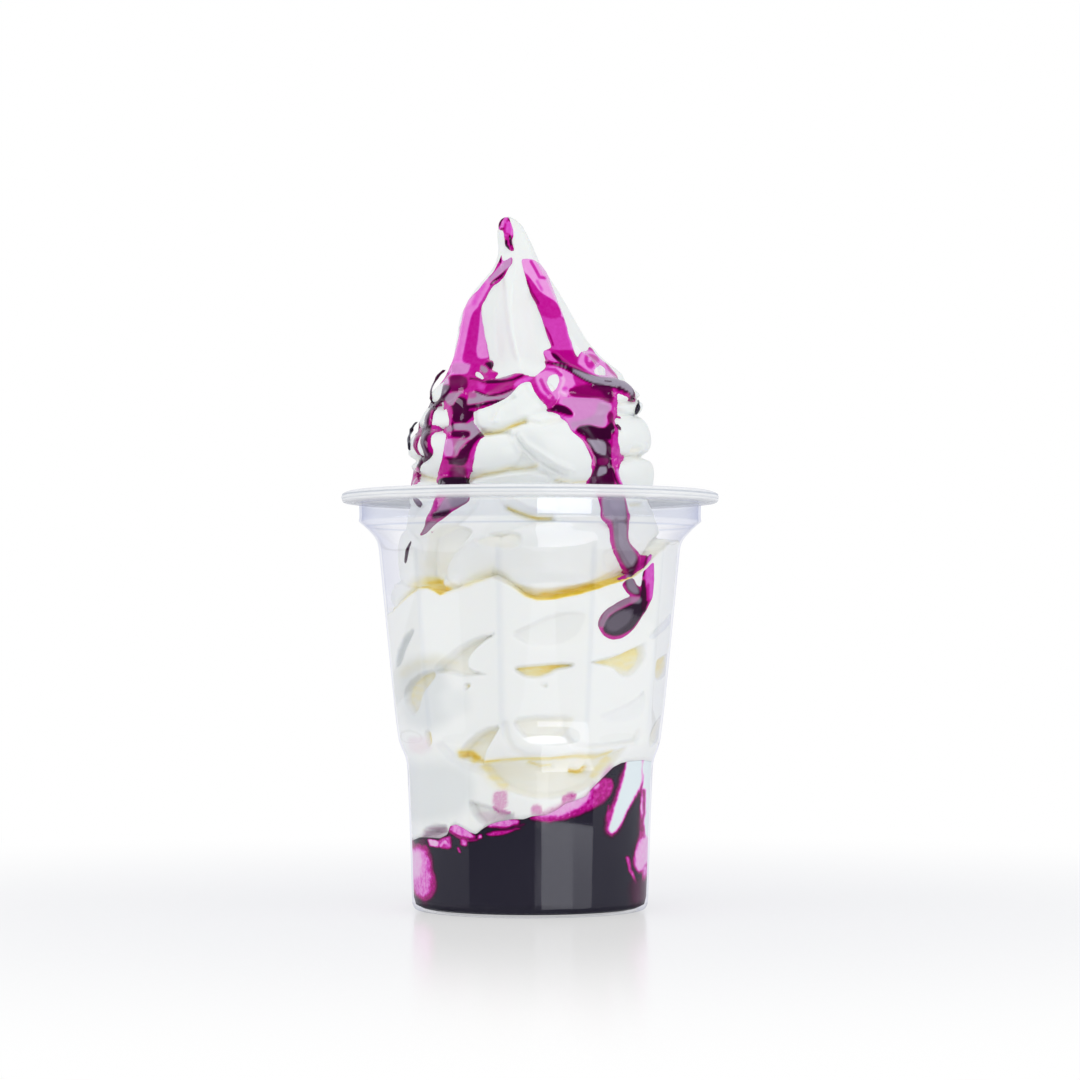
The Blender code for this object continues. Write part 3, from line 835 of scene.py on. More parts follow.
def make_pool():
    fine = np.arange(-104.0, 104.01, 0.72)
    coarse = np.linspace(104.0, 256.0, 84)[1:-1]
    deg = -np.concatenate([fine, coarse])
    around = len(deg)
    angle = np.radians(deg - 90.0)
    floor_in = FOOT_RECESS + WALL - 0.12
    rings = []
    for r, z in ((12.0, floor_in), (22.6, floor_in), (23.8, WALL + 0.12),
                 (27.2, WALL + 0.12), (28.75, 1.5), (29.15, 3.0)):
        rings.append((r * np.cos(angle), r * np.sin(angle), np.full(around, z)))
    rim = wall_line(deg)
    low_rows = len(rings)
    steps = 104
    for part in np.arange(1, steps + 1) / steps:
        z = 3.0 + (rim - 3.0) * part
        edge = wall_in(deg, z) + 0.12
        rings.append((edge * np.cos(angle), edge * np.sin(angle), z))
    for r in (27.6, 24.0, 18.0, 10.0):
        x, y = r * np.cos(angle), r * np.sin(angle)
        rings.append((x, y, syrup_top(x, y)))
    verts = [(0.0, 0.0, floor_in)]
    for x, y, z in rings:
        verts += list(zip(x, y, z))
    last = len(verts)
    verts.append((0.0, 0.0, float(syrup_top(0.0, 0.0))))
    faces = []
    for i in range(around):
        j = (i + 1) % around
        faces.append((0, 1 + i, 1 + j))
        for k in range(len(rings) - 1):
            a = 1 + k * around
            faces.append((a + i, a + around + i, a + around + j, a + j))
        a = 1 + (len(rings) - 1) * around
        faces.append((a + i, last, a + j))
    thing = mesh_object("syrup_in_cup", verts, faces)
    v = np.array(verts)
    px, py = to_frame(v[:, 0], -np.abs(v[:, 1]), v[:, 2])
    px = px + 1.2 * unrest(v[:, 0], v[:, 1], v[:, 2], 6.0)
    py = py + 1.2 * unrest(v[:, 1], v[:, 2], v[:, 0], 6.0)
    value = paint(px, py, 1.0, POOL_MARKS)
    outer = np.zeros(len(v), bool)
    outer[1 + (low_rows - 2) * around:1 + (low_rows + steps) * around] = True
    point_attribute(thing, "thick", np.where(outer, value, 1.0))
    return thing


# ------------------------------------------------------- the syrup on top
DRIZZLE_PATCHES = (
    # left stream: from the tip down to the first coil
    [(501, 253), (502.5, 261), (505, 260.5), (512.5, 256.5), (511.5, 264), (507, 270),
     (503.5, 277), (499.5, 281.5), (493, 286), (489, 292), (485.5, 299), (481.5, 306),
     (481, 314), (483, 325), (485.5, 338), (488, 350), (489.5, 360), (492.5, 361),
     (494, 365), (491.5, 370), (500, 373), (495, 378), (486, 384), (442, 390),
     (445, 378), (447, 370), (450, 360), (452, 350), (453, 340), (456, 328), (457, 318),
     (461, 308), (467, 300), (475, 293), (482, 286), (490, 276), (496, 268), (500, 259)],
    # its lower part, down behind the rim
    [(445, 378), (480, 378), (482, 400), (476, 410), (472.5, 413), (474.5, 418),
     (473, 421.5), (477, 428), (480, 432), (485.5, 434), (482, 439), (477, 445),
     (475, 455), (473, 465), (470.5, 475), (469, 484), (470, 500), (467, 503),
     (458, 508), (450, 513), (440, 521), (435, 524), (429.5, 530), (424, 534), (417, 538),
     (422, 532), (425.5, 526), (425.5, 519), (430, 512), (434, 502), (437, 494), (440, 486),
     (438, 474), (440, 465), (443, 455), (444, 445), (446, 437), (445, 432), (449, 426),
     (449, 418), (446, 408), (445, 402), (440, 401), (442, 391)],
    # the arm that crosses to the right stream
    [(455, 380), (475, 379.5), (488, 379.5), (500, 378), (508, 375.5), (515, 373),
     (521, 373.5), (528, 375.5), (535, 377), (544, 372), (544, 381), (536, 382.5),
     (527, 381.5), (519, 385), (514, 391), (509, 397), (502, 401), (493, 404.5),
     (484, 408), (475, 411), (462, 408)],
    # right stream
    [(521, 259.5), (527, 258.5), (534, 260), (540, 264), (545, 270), (549, 277),
     (551, 285), (555, 294), (558, 302), (562, 312), (565, 322), (568, 332), (571, 342),
     (574, 351), (577, 359), (581, 364), (590, 368), (600, 372), (617, 377), (618, 390),
     (617, 405), (617, 412), (615, 418), (614, 422), (617, 426), (619, 433), (618, 440),
     (620, 450), (621, 460), (620, 466), (618, 471), (620, 478), (624, 486), (624, 496),
     (628, 507), (630, 518), (629, 523), (628, 541), (633, 547), (639, 553), (645, 559),
     (644, 565), (640, 569), (636, 574), (634, 580), (636, 585), (642, 589), (643, 599),
     (632, 596), (626, 592), (622, 585), (621, 580), (627, 576), (623, 571), (617, 560),
     (612, 549), (610, 540), (609, 525), (600, 518), (601, 508), (598, 498), (594, 490),
     (586, 484), (588, 480), (591.5, 475), (592.5, 470), (590, 466.5), (592, 461),
     (589, 453), (586, 446), (582, 439.5), (576, 435), (570, 431), (568.5, 425),
     (562, 418), (556, 412.5), (547, 411), (547.5, 408), (542, 402.5), (536, 396),
     (533, 389), (531, 383), (534, 378.5), (539, 373), (545, 369), (547, 364),
     (545, 358), (543, 351), (549, 349), (552, 347.5), (549, 340), (546, 331),
     (543, 322.5), (540, 314.5), (537.5, 307), (533.5, 299.5), (530, 292), (527.5, 284),
     (525.5, 276), (523.5, 268)],
    # the patch beside it and the stain on the tip
    [(577, 362), (579, 354), (583, 351), (587.5, 350), (589, 346), (592, 348),
     (595, 354), (601, 359.5), (608, 365), (613, 370), (618, 376), (618, 381),
     (600, 378), (588, 374)],
    [(498, 226), (500, 221), (504, 217), (509, 217), (511, 223), (513, 230),
     (513.5, 237), (511.5, 241), (513, 246), (515, 250.5), (511, 250.5), (508, 248),
     (505, 245), (504.5, 238), (503, 230.5), (501, 230), (499, 230)],
    # against the wall: the big drop and the sliver beside it
    [(642, 585), (647, 586), (651, 598), (648, 606), (642, 616), (637, 625), (630, 633),
     (622, 638.5), (613, 639.5), (605, 637), (600, 631), (598, 624), (600, 617),
     (606, 610), (614, 605), (622, 600), (629, 597), (636, 597), (641, 599)],
    [(651, 544), (654, 556), (654.3, 575), (652.8, 598), (648, 606), (643, 614),
     (640, 608), (641, 590), (642.5, 575), (644, 562), (647, 551)],
    [(412, 495), (420, 500), (423, 504), (420, 508), (415, 503)],
    # the thread and the drops on the left
    [(446, 386), (449, 389), (446, 396), (442, 401.5), (438, 406.5), (434, 412),
     (432.5, 418), (431.5, 425), (436, 424.5), (440, 427), (444, 430), (438, 431.2),
     (433, 433), (430.8, 438), (430.5, 444), (433.5, 450), (432.5, 455), (428.5, 459),
     (422, 464), (419, 468), (420, 474), (420.5, 479), (417.5, 485), (409.5, 485),
     (411.5, 477), (414.5, 469), (418.5, 463), (425.5, 457.5), (424, 452), (421, 446),
     (420.5, 440), (422, 433), (424, 427), (424.6, 419), (429, 410), (434, 404),
     (439.5, 399.5), (443, 394)],
    [(417.5, 422), (420, 427), (421, 434), (418.6, 440), (417, 445), (418.2, 450),
     (421.5, 456), (416.5, 453), (413, 447), (413, 442), (415, 436), (415.6, 428)],
)
DRIZZLE_LINES = (
    ([(546, 363), (560, 366.5), (572, 371.5), (582, 377.5), (591, 383), (602, 386.5),
      (613, 387), (622, 389), (629, 393), (632, 398)],
     [1.0, 1.8, 2.8, 3.8, 4.2, 4.4, 4.8, 5.0, 4.0, 2.4]),
    ([(411, 541), (407, 551), (405.5, 562)], [0.6, 1.6, 0.9]),
)
DRIZZLE_HOLES = (
    [(475, 370.5), (480, 372), (484, 377), (486, 380.5), (481, 379.5), (475.5, 377)],
    [(552, 374.5), (558, 374), (559.5, 380), (557, 387), (552, 393), (549.5, 389),
     (546.5, 384), (548, 378)],
    [(593, 373), (597, 367.5), (600.5, 364.5), (605, 368.5), (606, 375.5), (600, 375.5)],
)
# how thick the syrup looks: 0.1 pale pink, 0.3 pink, 0.5 magenta, 0.8 wine, 1 black; on the upper streams
# the pale values are partly painted highlights
DRIZZLE_MARKS = (
    # left stream: a pale film on its outer side, partly a painted highlight, magenta down its middle
    (0.27, 0.9, [(512, 256), (511, 264), (508, 269), (500, 275), (492, 281), (490, 286),
                  (486, 293), (483, 300), (479, 306), (473, 312), (470, 320), (468, 330),
                  (466, 340), (464, 350), (462, 359), (464, 362), (471, 364), (469, 370),
                  (467, 374), (450, 375), (438, 376), (438, 340), (452, 305), (475, 280),
                  (496, 258)]),
    (0.20, 2.0, [(474, 296), (464, 308), (459, 322), (457, 340), (453, 356)], 1.6),
    (0.34, 2.0, [(484, 284), (478, 294), (474, 303)], 2.2),
    (0.29, 2.0, [(464, 322), (461, 340), (458, 360)], 1.3),
    (0.26, 0.9, [(480.5, 309), (483, 318), (486, 338), (488, 352), (489, 358), (478, 359),
                 (476, 350), (478, 338), (479.5, 322)]),
    (0.84, 0.9, [(509, 267.5), (506, 270), (503, 276), (499, 279.5), (494, 282),
                 (491, 285.5), (490, 284), (493, 280.5), (500, 275), (505, 270)]),
    (0.46, 0.9, [(500, 280), (493, 285), (488, 292), (484, 299), (480, 305)], 1.2),
    (0.82, 0.9, [(500, 253), (502, 262), (498, 267), (499, 259)]),
    (0.52, 0.9, [(499, 264), (494, 270), (489, 276)], 1.5),
    (0.46, 1.0, [(449, 364), (447, 371), (448, 377)], 1.6),
    (0.50, 0.9, [(462, 359), (478, 360), (490, 360), (494, 366), (491, 371), (488, 368),
                 (482, 364), (478, 370), (468, 374), (472, 365), (465, 363)]),
    (0.90, 0.9, [(484, 363), (492, 361), (494, 365), (491, 370), (488, 367)]),
    (0.50, 0.9, [(488, 372), (500, 372), (495, 378), (488, 379)]),
    # where the arm leaves it
    (0.76, 0.9, [(449, 376), (460, 374.5), (467, 378), (470, 383), (467, 388), (462, 391),
                 (450, 392), (449, 384)]),
    (0.50, 1.0, [(467, 377), (483, 381), (486, 388), (478, 391), (467, 390), (468, 384)]),
    (0.40, 2.0, [(477, 382), (484, 384), (486, 389), (479, 389)]),
    (0.82, 0.8, [(470, 378.3), (478, 379.3), (484, 382)], 0.8),
    (0.86, 0.9, [(484, 381), (490, 379.6), (505, 380), (513, 378.5), (521, 374.5),
                 (525, 374.3), (521, 377.5), (510, 382), (495, 383.5), (487, 384)]),
    (0.58, 1.0, [(487, 384.5), (500, 383.5), (514, 381), (516, 385), (508, 389.5),
                 (494, 392.5), (484, 391)]),
    (0.34, 1.0, [(513, 384.5), (518, 380), (528, 376.5), (534, 378), (525, 383),
                 (516, 387)]),
    (0.84, 0.8, [(476, 391.5), (484, 394.8), (490, 395.8), (500, 393.8), (512, 389.5)],
     1.1),
    (0.20, 1.0, [(445, 378), (449, 379), (449, 388), (446, 393), (440, 399), (438, 399),
                 (441, 386)]),
    (0.50, 0.9, [(448, 391), (444, 397), (441, 401)], 1.4),
    (0.52, 0.9, [(460, 396), (465, 391.5), (469.5, 391.5), (469, 400), (458, 401)]),
    (0.86, 0.9, [(456, 400), (460, 396), (467, 399), (467, 405), (472, 407), (474, 412),
                 (473, 416), (468, 421), (465, 423.5), (461, 422.5), (455, 423),
                 (452, 420), (450, 412), (450, 406), (454, 405)]),
    (0.50, 0.9, [(445, 404), (451, 405.5), (453, 412), (452, 420), (449, 420),
                 (446, 410)]),
    (0.88, 0.9, [(468, 407), (480, 405), (492, 402.5), (504, 400.5)], 1.7),
    (0.56, 0.9, [(470, 409.7), (484, 408.2), (498, 404)], 1.1),
    (0.90, 0.8, [(452.5, 423), (453, 430)], 1.0),
    (0.84, 0.9, [(451, 431), (466, 430.5), (470, 432), (470, 436), (466, 438),
                 (451, 437)]),
    (0.50, 0.9, [(445, 432), (451, 431), (451, 437.5), (446, 438.5)]),
    (0.24, 0.9, [(445, 439), (453, 439), (453, 457), (443, 456)]),
    (0.84, 0.9, [(479, 432), (484, 433), (486, 435), (480, 438), (474, 444), (470, 452),
                 (468, 460), (464, 466), (452, 465), (443, 463), (444, 457), (457, 457.5),
                 (461, 449), (467, 443), (474, 437)]),
    (0.48, 0.9, [(480, 438), (476, 446), (473, 456), (471, 468), (469, 484), (465, 484),
                 (466, 470), (469, 458), (472, 448)]),
    (0.28, 0.9, [(482, 440), (477, 449), (474, 458)], 0.9),
    (0.52, 1.0, [(441, 457), (449, 460), (448, 470), (448, 480), (440, 480), (438, 470)]),
    (0.74, 2.0, [(450, 466), (466, 466), (467, 478), (448, 478)]),
    (0.95, 1.0, [(438, 477), (472, 477), (472, 490), (438, 490)]),
    (0.15, 1.0, [(475, 419), (478, 424), (479, 430), (476, 428), (473, 423)]),
    (0.50, 2.0, [(434, 495), (447, 494), (440, 506), (432, 512), (428, 518), (424, 520)]),
    (0.90, 2.0, [(432, 512), (452, 508), (448, 516), (432, 520)]),
    (0.78, 2.0, [(446, 494), (470, 494), (468, 503), (452, 510)]),
    (0.70, 2.0, [(424, 520), (440, 520), (430, 532), (418, 538)]),
    # the thread and the drops on the left
    (0.86, 0.9, [(446, 389), (441, 398), (434, 405), (429, 413), (427, 424), (426, 432),
                 (425, 442), (427, 451), (428, 456), (420, 463), (417, 469)], 4.6),
    (0.56, 0.8, [(432, 411), (430.6, 418), (430, 424)], 1.2),
    (0.60, 1.0, [(429.5, 437), (428.5, 445), (431, 451)], 1.8),
    (0.52, 1.0, [(415.5, 470), (415, 477), (414, 486)], 3.6),
    (0.84, 1.0, [(418, 474), (419, 479)], 1.0),
    (0.68, 1.0, [(418, 424), (418, 434), (415, 443), (419, 455)], 2.8),
    # right stream: its pale and lilac zones are thin film and partly painted highlights
    (0.21, 1.0, [(518, 256), (536, 256), (553, 276), (562, 302), (566, 318), (560, 316),
                 (560, 309), (556, 302), (548, 297), (540, 292), (535, 285), (530, 278),
                 (526, 274), (520, 268)]),
    (0.16, 1.5, [(541, 266), (549, 278), (553, 290), (557, 300)], 2.0),
    (0.46, 0.9, [(531, 261.5), (535, 268.5), (539.5, 277), (545, 278)], 1.5),
    (0.34, 1.2, [(537, 281), (542, 290)], 1.4),
    (0.50, 0.9, [(526, 273), (530, 278), (535, 285), (540, 292), (548, 297), (556, 302),
                 (560, 309), (562, 316), (553, 318.5), (545, 317), (539, 314), (535, 305),
                 (530, 293), (526, 282)]),
    (0.68, 0.9, [(527, 282), (531, 292), (538, 303)], 1.4),
    (0.42, 0.9, [(539, 314.5), (545, 317), (553, 318.7), (562, 317), (566, 328),
                 (570, 338), (575, 350), (552, 350), (551, 344), (548, 336), (543, 325)]),
    (0.28, 1.5, [(566, 322), (569, 334), (573, 348)], 1.5),
    (0.64, 0.8, [(545.5, 328), (550, 336), (553, 345)], 0.9),
    (0.30, 0.9, [(541, 350), (550, 350), (557, 359), (559, 363), (548, 360)]),
    (0.56, 1.0, [(550, 351), (573, 350), (578, 357), (584, 364), (591, 371),
                 (575, 369.5), (561, 364), (553, 357)]),
    (0.88, 0.9, [(551, 352.5), (556, 354), (560, 358), (562, 361), (570, 365), (560, 363),
                 (553, 357)]),
    (0.24, 1.5, [(577, 363), (582, 350), (592, 350), (604, 361), (618, 374), (614, 378),
                 (600, 378), (586, 370), (581, 366)]),
    (0.48, 1.0, [(585, 355), (590, 353.5), (597, 356), (600, 361), (596, 363), (592, 369),
                 (588, 368), (584, 361)]),
    (0.26, 0.8, [(588, 357), (592, 357.5), (591, 362), (588, 362)]),
    (0.50, 1.0, [(607, 364), (611, 371), (617, 377)], 1.6),
    # round the gap and below it; the big pale patch below the rope is a painted highlight
    (0.25, 1.5, [(534, 376), (545, 366), (556, 366), (572, 371), (580, 380), (572, 388),
                 (566, 398), (552, 400), (540, 392)]),
    (0.15, 1.2, [(560, 372), (564, 380), (560, 392), (566, 396)], 1.6),
    (0.47, 0.9, [(538, 371.5), (545, 368.5), (555, 370), (561, 375)], 1.8),
    (0.47, 0.9, [(541, 380), (545, 389), (553, 398)], 1.8),
    (0.36, 1.0, [(561, 388), (566, 386), (569, 389), (564, 391)]),
    (0.50, 1.0, [(572, 374), (580, 377), (588, 383), (584, 388), (576, 386)]),
    (0.26, 1.0, [(560, 397), (576, 396.5), (590, 397), (602, 397.5), (608, 400),
                 (612, 405), (612, 409), (609, 412), (607, 416), (608, 420), (606, 427),
                 (600, 429), (594, 427), (584, 426), (577, 429), (573, 433), (566, 428),
                 (562, 420), (555, 415), (572, 418), (574, 414), (570, 408), (558, 404)]),
    (0.70, 0.9, [(569, 389), (578, 386), (588, 384), (600, 385), (612, 386), (614, 394),
                 (613, 402), (609, 403), (600, 398.5), (585, 397.5), (573, 396.5),
                 (569, 392.5)]),
    (0.80, 1.5, [(590, 385), (604, 386), (612, 389), (612, 400), (606, 398), (600, 390),
                 (592, 389)]),
    (0.46, 0.9, [(614.5, 386), (616, 396), (614.5, 408), (614, 422)], 2.0),
    (0.72, 0.9, [(609, 411), (613, 413), (614, 423), (609, 424), (607, 417)]),
    (0.88, 0.9, [(545, 409.5), (552, 408.5), (556, 404), (566, 406), (574, 414),
                 (570, 415.5), (560, 412.5)]),
    (0.34, 1.2, [(556, 415), (563, 419), (569, 427)], 1.8),
    (0.86, 0.9, [(584, 436), (612, 440), (612, 470), (616, 488), (588, 488), (590, 478),
                 (596, 466), (594, 454), (588, 444)]),
    (0.90, 0.9, [(576, 429), (580, 425.5), (590, 424.5), (598, 427), (605, 428),
                 (609, 424), (612, 422), (615, 428), (614, 434), (611, 440), (604, 440),
                 (598, 439), (588, 438), (582, 435), (577, 432)]),
    (0.48, 0.9, [(570, 431.5), (578, 435), (585, 442), (590, 453), (592, 465)], 1.8),
    (0.74, 1.0, [(597, 458), (609, 458), (608, 465), (597, 465)]),
    (0.46, 1.0, [(611.5, 440), (613, 433), (617, 437), (621, 450), (621, 460), (616, 468),
                 (613, 468), (611, 458)]),
    (0.60, 0.8, [(612, 433), (611.5, 446)], 0.8),
    (0.90, 0.9, [(613, 469), (615, 478), (619, 486)], 1.0),
    (0.28, 1.0, [(617.5, 470), (620.5, 480), (625, 487)], 1.3),
    # the rope that crosses it
    (0.87, 1.0, [(546, 362.5), (556, 364), (566, 367.5), (576, 372), (588, 378),
                 (600, 382), (614, 383.5), (624, 387), (631, 392), (632, 398)],
     [0.8, 1.4, 2.2, 3.4, 4.2, 4.6, 4.8, 4.8, 4.0, 3.0]),
    (0.52, 1.0, [(621, 392), (629, 392.5), (631, 398), (627, 398)]),
    (0.55, 1.0, [(600, 497), (603, 508), (603, 518)], 1.6),
    (0.84, 2.0, [(604, 496), (624, 496), (628, 518), (626, 540), (640, 560), (634, 572),
                 (634, 582), (641, 590), (640, 597), (628, 592), (624, 582), (630, 575),
                 (620, 560), (615, 545), (613, 525)]),
    (0.52, 1.2, [(627, 505), (629, 517)], 1.6),
    (0.52, 1.2, [(611, 526), (613, 540), (614, 550), (620, 562), (627, 572)], 1.4),
    (0.55, 1.5, [(634, 550), (643, 558), (643, 564)], 1.8),
    (0.97, 1.5, [(640, 600), (641, 590), (647, 586), (650, 598), (642, 616), (630, 632),
                 (615, 637), (603, 632), (604, 622), (614, 612), (628, 606)]),
    (0.72, 1.5, [(600, 624), (606, 612), (616, 606), (628, 600)], 3.0),
    (0.52, 1.2, [(604, 636), (613, 638.5), (622, 637), (630, 632)], 1.6),
    (0.33, 1.5, [(650, 548), (654, 560), (654, 598), (648, 600), (645, 580), (646, 560)]),
    (0.89, 1.0, [(643, 582), (644, 596), (644, 610)], 2.2),
    (0.50, 1.0, [(648, 585), (648, 600)], 1.4),
    (0.90, 1.0, [(649, 549), (646, 560), (643, 576)], 0.8),
    (0.9, 2.0, [(404, 540), (414, 540), (410, 565), (402, 565)]),
    (0.85, 2.0, [(410, 493), (424, 498), (424, 510), (412, 506)]),
    # the tip
    (0.36, 1.0, [(496, 214), (516, 214), (516, 236), (496, 236)]),
    (0.28, 0.9, [(503, 219.5), (502.5, 225)], 1.0),
    (0.30, 0.8, [(511.6, 221), (512, 232), (511.5, 235)], 0.9),
    (0.50, 0.8, [(505.5, 224), (504.6, 229), (505, 233), (509, 234.6)], 1.1),
    (0.50, 0.8, [(508, 218.6), (507, 221.5)], 0.8),
    (0.86, 0.7, [(503, 218.4), (500.6, 221.5), (499.3, 226)], 0.9),
    (0.84, 0.6, [(508.8, 219.3), (509.8, 219.9)], 0.9),
    (0.80, 0.7, [(501, 230), (503, 228.9)], 0.9),
    (0.50, 1.0, [(505, 237), (512, 237), (515, 251), (508, 248)]),
    (0.90, 0.8, [(510, 236.5), (510.5, 241), (511.4, 245)], 1.2),
    (0.92, 0.8, [(506.2, 241), (506.2, 245), (508.4, 248)], 1.2),
    (0.60, 0.8, [(512, 246.5), (513.4, 250)], 1.3),
)
# painted highlights: where the film is painted a grey-lilac sheen, over the dark parts and where it lies
# against the plastic
PAINTED_SHEEN_MARKS = (
    (0.55, 1.0, [(503, 263), (509, 258), (512, 257.5), (511, 265), (508, 268), (500, 274),
                 (494, 279), (490, 282), (488, 279), (494, 273), (500, 266)]),
    (0.75, 0.8, [(480.5, 365), (486, 367), (488.5, 371), (485, 373.5), (480, 370)]),
    (0.25, 0.9, [(452, 363), (464, 363), (471, 364), (468, 372), (466, 374), (452, 374)]),
    (0.75, 0.8, [(494, 378.5), (505, 375.5), (515, 374.5), (508, 378), (500, 379.5)]),
    (0.45, 0.9, [(446, 379), (449, 380), (449, 388), (446, 392), (441, 397), (441, 388)]),
    (0.75, 0.8, [(444, 399), (450, 392.5), (465, 391.5), (460, 394), (455, 401),
                 (453, 405.5), (448, 404.5)]),
    (0.85, 0.8, [(475, 391.5), (484, 396), (492, 397), (503, 395), (512, 391), (518, 388),
                 (510, 395.6), (504, 398.8), (490, 400.0), (478, 402.8), (468, 404.5),
                 (467, 402), (470, 393)]),
    (0.30, 1.5, [(468, 392), (476, 392), (477, 397), (469, 399)]),
    (0.85, 0.8, [(453, 424), (462, 423.3), (468, 424), (473, 420), (475, 424), (479, 430),
                 (480, 432), (473, 438), (470, 440), (466, 438.8), (470.5, 436.5),
                 (470.5, 431.5), (466, 430), (454, 430)]),
    (0.35, 0.8, [(445.5, 439), (456, 438.7), (470, 438.5), (465, 443), (460, 448),
                 (457, 457), (446, 455.8), (444.5, 450)]),
    (0.75, 2.0, [(458, 439.5), (467, 440), (459, 448), (456, 455), (454, 448)]),
    (0.70, 0.8, [(448, 426), (451, 425), (453, 429), (451, 432), (447, 432), (446, 429)]),
    (0.12, 3.0, [(455, 468), (466, 468), (465, 477), (453, 477)]),
    (0.30, 1.0, [(563, 398.5), (576, 398), (590, 398.5), (602, 399), (608, 401.5),
                 (611, 405), (611.5, 409), (608, 412), (606, 416), (607, 420),
                 (605.5, 426), (600, 428), (594, 426), (584, 425), (577, 428), (574, 431),
                 (569, 428), (567, 421), (573, 418), (575, 414), (571, 408), (562, 404)]),
    (0.60, 2.5, [(598, 402), (608, 404), (610, 409), (605, 416), (604, 426), (592, 424),
                 (578, 426), (572, 430), (570, 422), (584, 420), (596, 414)]),
    (0.80, 0.8, [(586, 439), (592, 439.5), (603, 440.5), (606, 444), (606.5, 450),
                 (605.5, 456), (596, 452.5), (592, 446)]),
    (0.85, 0.8, [(600.5, 466.5), (606.5, 466.5), (607, 473), (601, 475.5), (598, 476.5),
                 (597, 474), (599, 468)]),
    (0.45, 0.7, [(554, 364.3), (566, 367.5)], 0.7),
    (0.85, 0.9, [(574, 370.5), (586, 376.5), (596, 379.5), (610, 381), (622, 382.5),
                 (629, 387), (632, 393)], [1.5, 2.7, 3.6, 4.0, 4.2, 3.5, 1.8]),
    (0.0, 0.6, [(605, 380.6), (611, 381.4)], 0.7),
    (0.45, 0.8, [(428.5, 412), (426, 420), (425.3, 428)], 0.7),
    (0.40, 0.8, [(423.3, 436), (422.5, 443), (424.5, 450), (427, 455)], 0.8),
    (0.40, 0.8, [(430.5, 432), (437, 429.8)], 0.8),
    (0.40, 0.8, [(414, 470), (412, 477), (411, 484)], 0.8),
    (0.35, 0.8, [(415.8, 428), (415.5, 436), (413.6, 443)], 0.7),
    (0.95, 2.0, [(601, 494), (624, 494), (626, 508), (627, 520), (612, 521), (603, 517)]),
    (0.75, 2.0, [(613, 521), (627, 522), (627, 541), (638, 556), (632, 568), (622, 556),
                 (615, 544)]),
    (0.55, 1.5, [(616, 520), (617, 545), (628, 566)], 2.0),
    (0.60, 1.5, [(626, 574), (632, 576), (640, 593), (634, 594), (627, 588)]),
    (0.55, 1.5, [(602, 624), (607, 613), (617, 606.5), (629, 600), (638, 600)], 3.2),
    (0.22, 2.0, [(606, 622), (618, 612), (634, 608), (630, 622), (616, 632), (607, 630)]),
    (0.75, 2.0, [(447, 494), (470, 494), (468, 502), (452, 509), (436, 512), (440, 505)]),
    (0.55, 1.5, [(428, 522), (438, 521), (430, 531), (421, 536)]),
    (0.55, 1.5, [(413, 496), (422, 500), (421, 506), (415, 503)]),
)
# on the far side: (angle, height) and half width in mm
BACK_LINES = (
    (((168, 165), (172, 158), (166, 148), (160, 139), (158, 130), (152, 122), (156, 113),
      (150, 104), (152, 96), (146, 89)),
     (1.2, 2.0, 2.6, 3.4, 4.2, 3.4, 3.6, 2.6, 2.4, 1.6)),
    (((222, 160), (226, 150), (220, 141), (214, 133), (217, 124), (210, 114), (214, 105)),
     (1.0, 1.8, 2.6, 3.6, 3.0, 2.6, 2.0)),
    (((158, 134), (172, 130), (188, 132), (202, 129), (214, 132)),
     (1.6, 2.0, 1.3, 1.7, 1.8)),
    (((120, 150), (124, 143), (118, 136), (122, 127), (116, 120)),
     (0.8, 1.6, 2.2, 2.0, 1.2)),
    (((255, 137), (262, 128), (257, 118), (262, 108), (258, 99), (262, 92)),
     (1.4, 2.2, 2.0, 2.4, 1.6, 1.0)),
)


def blur(field, times, wrap_rows=False):
    for _ in range(times):
        field = (np.roll(field, 1, 1) + 2.0 * field + np.roll(field, -1, 1)) / 4.0
        inner = (field[:-2] + 2.0 * field[1:-1] + field[2:]) / 4.0
        field = np.vstack([field[:1], inner, field[-1:]])
    return field


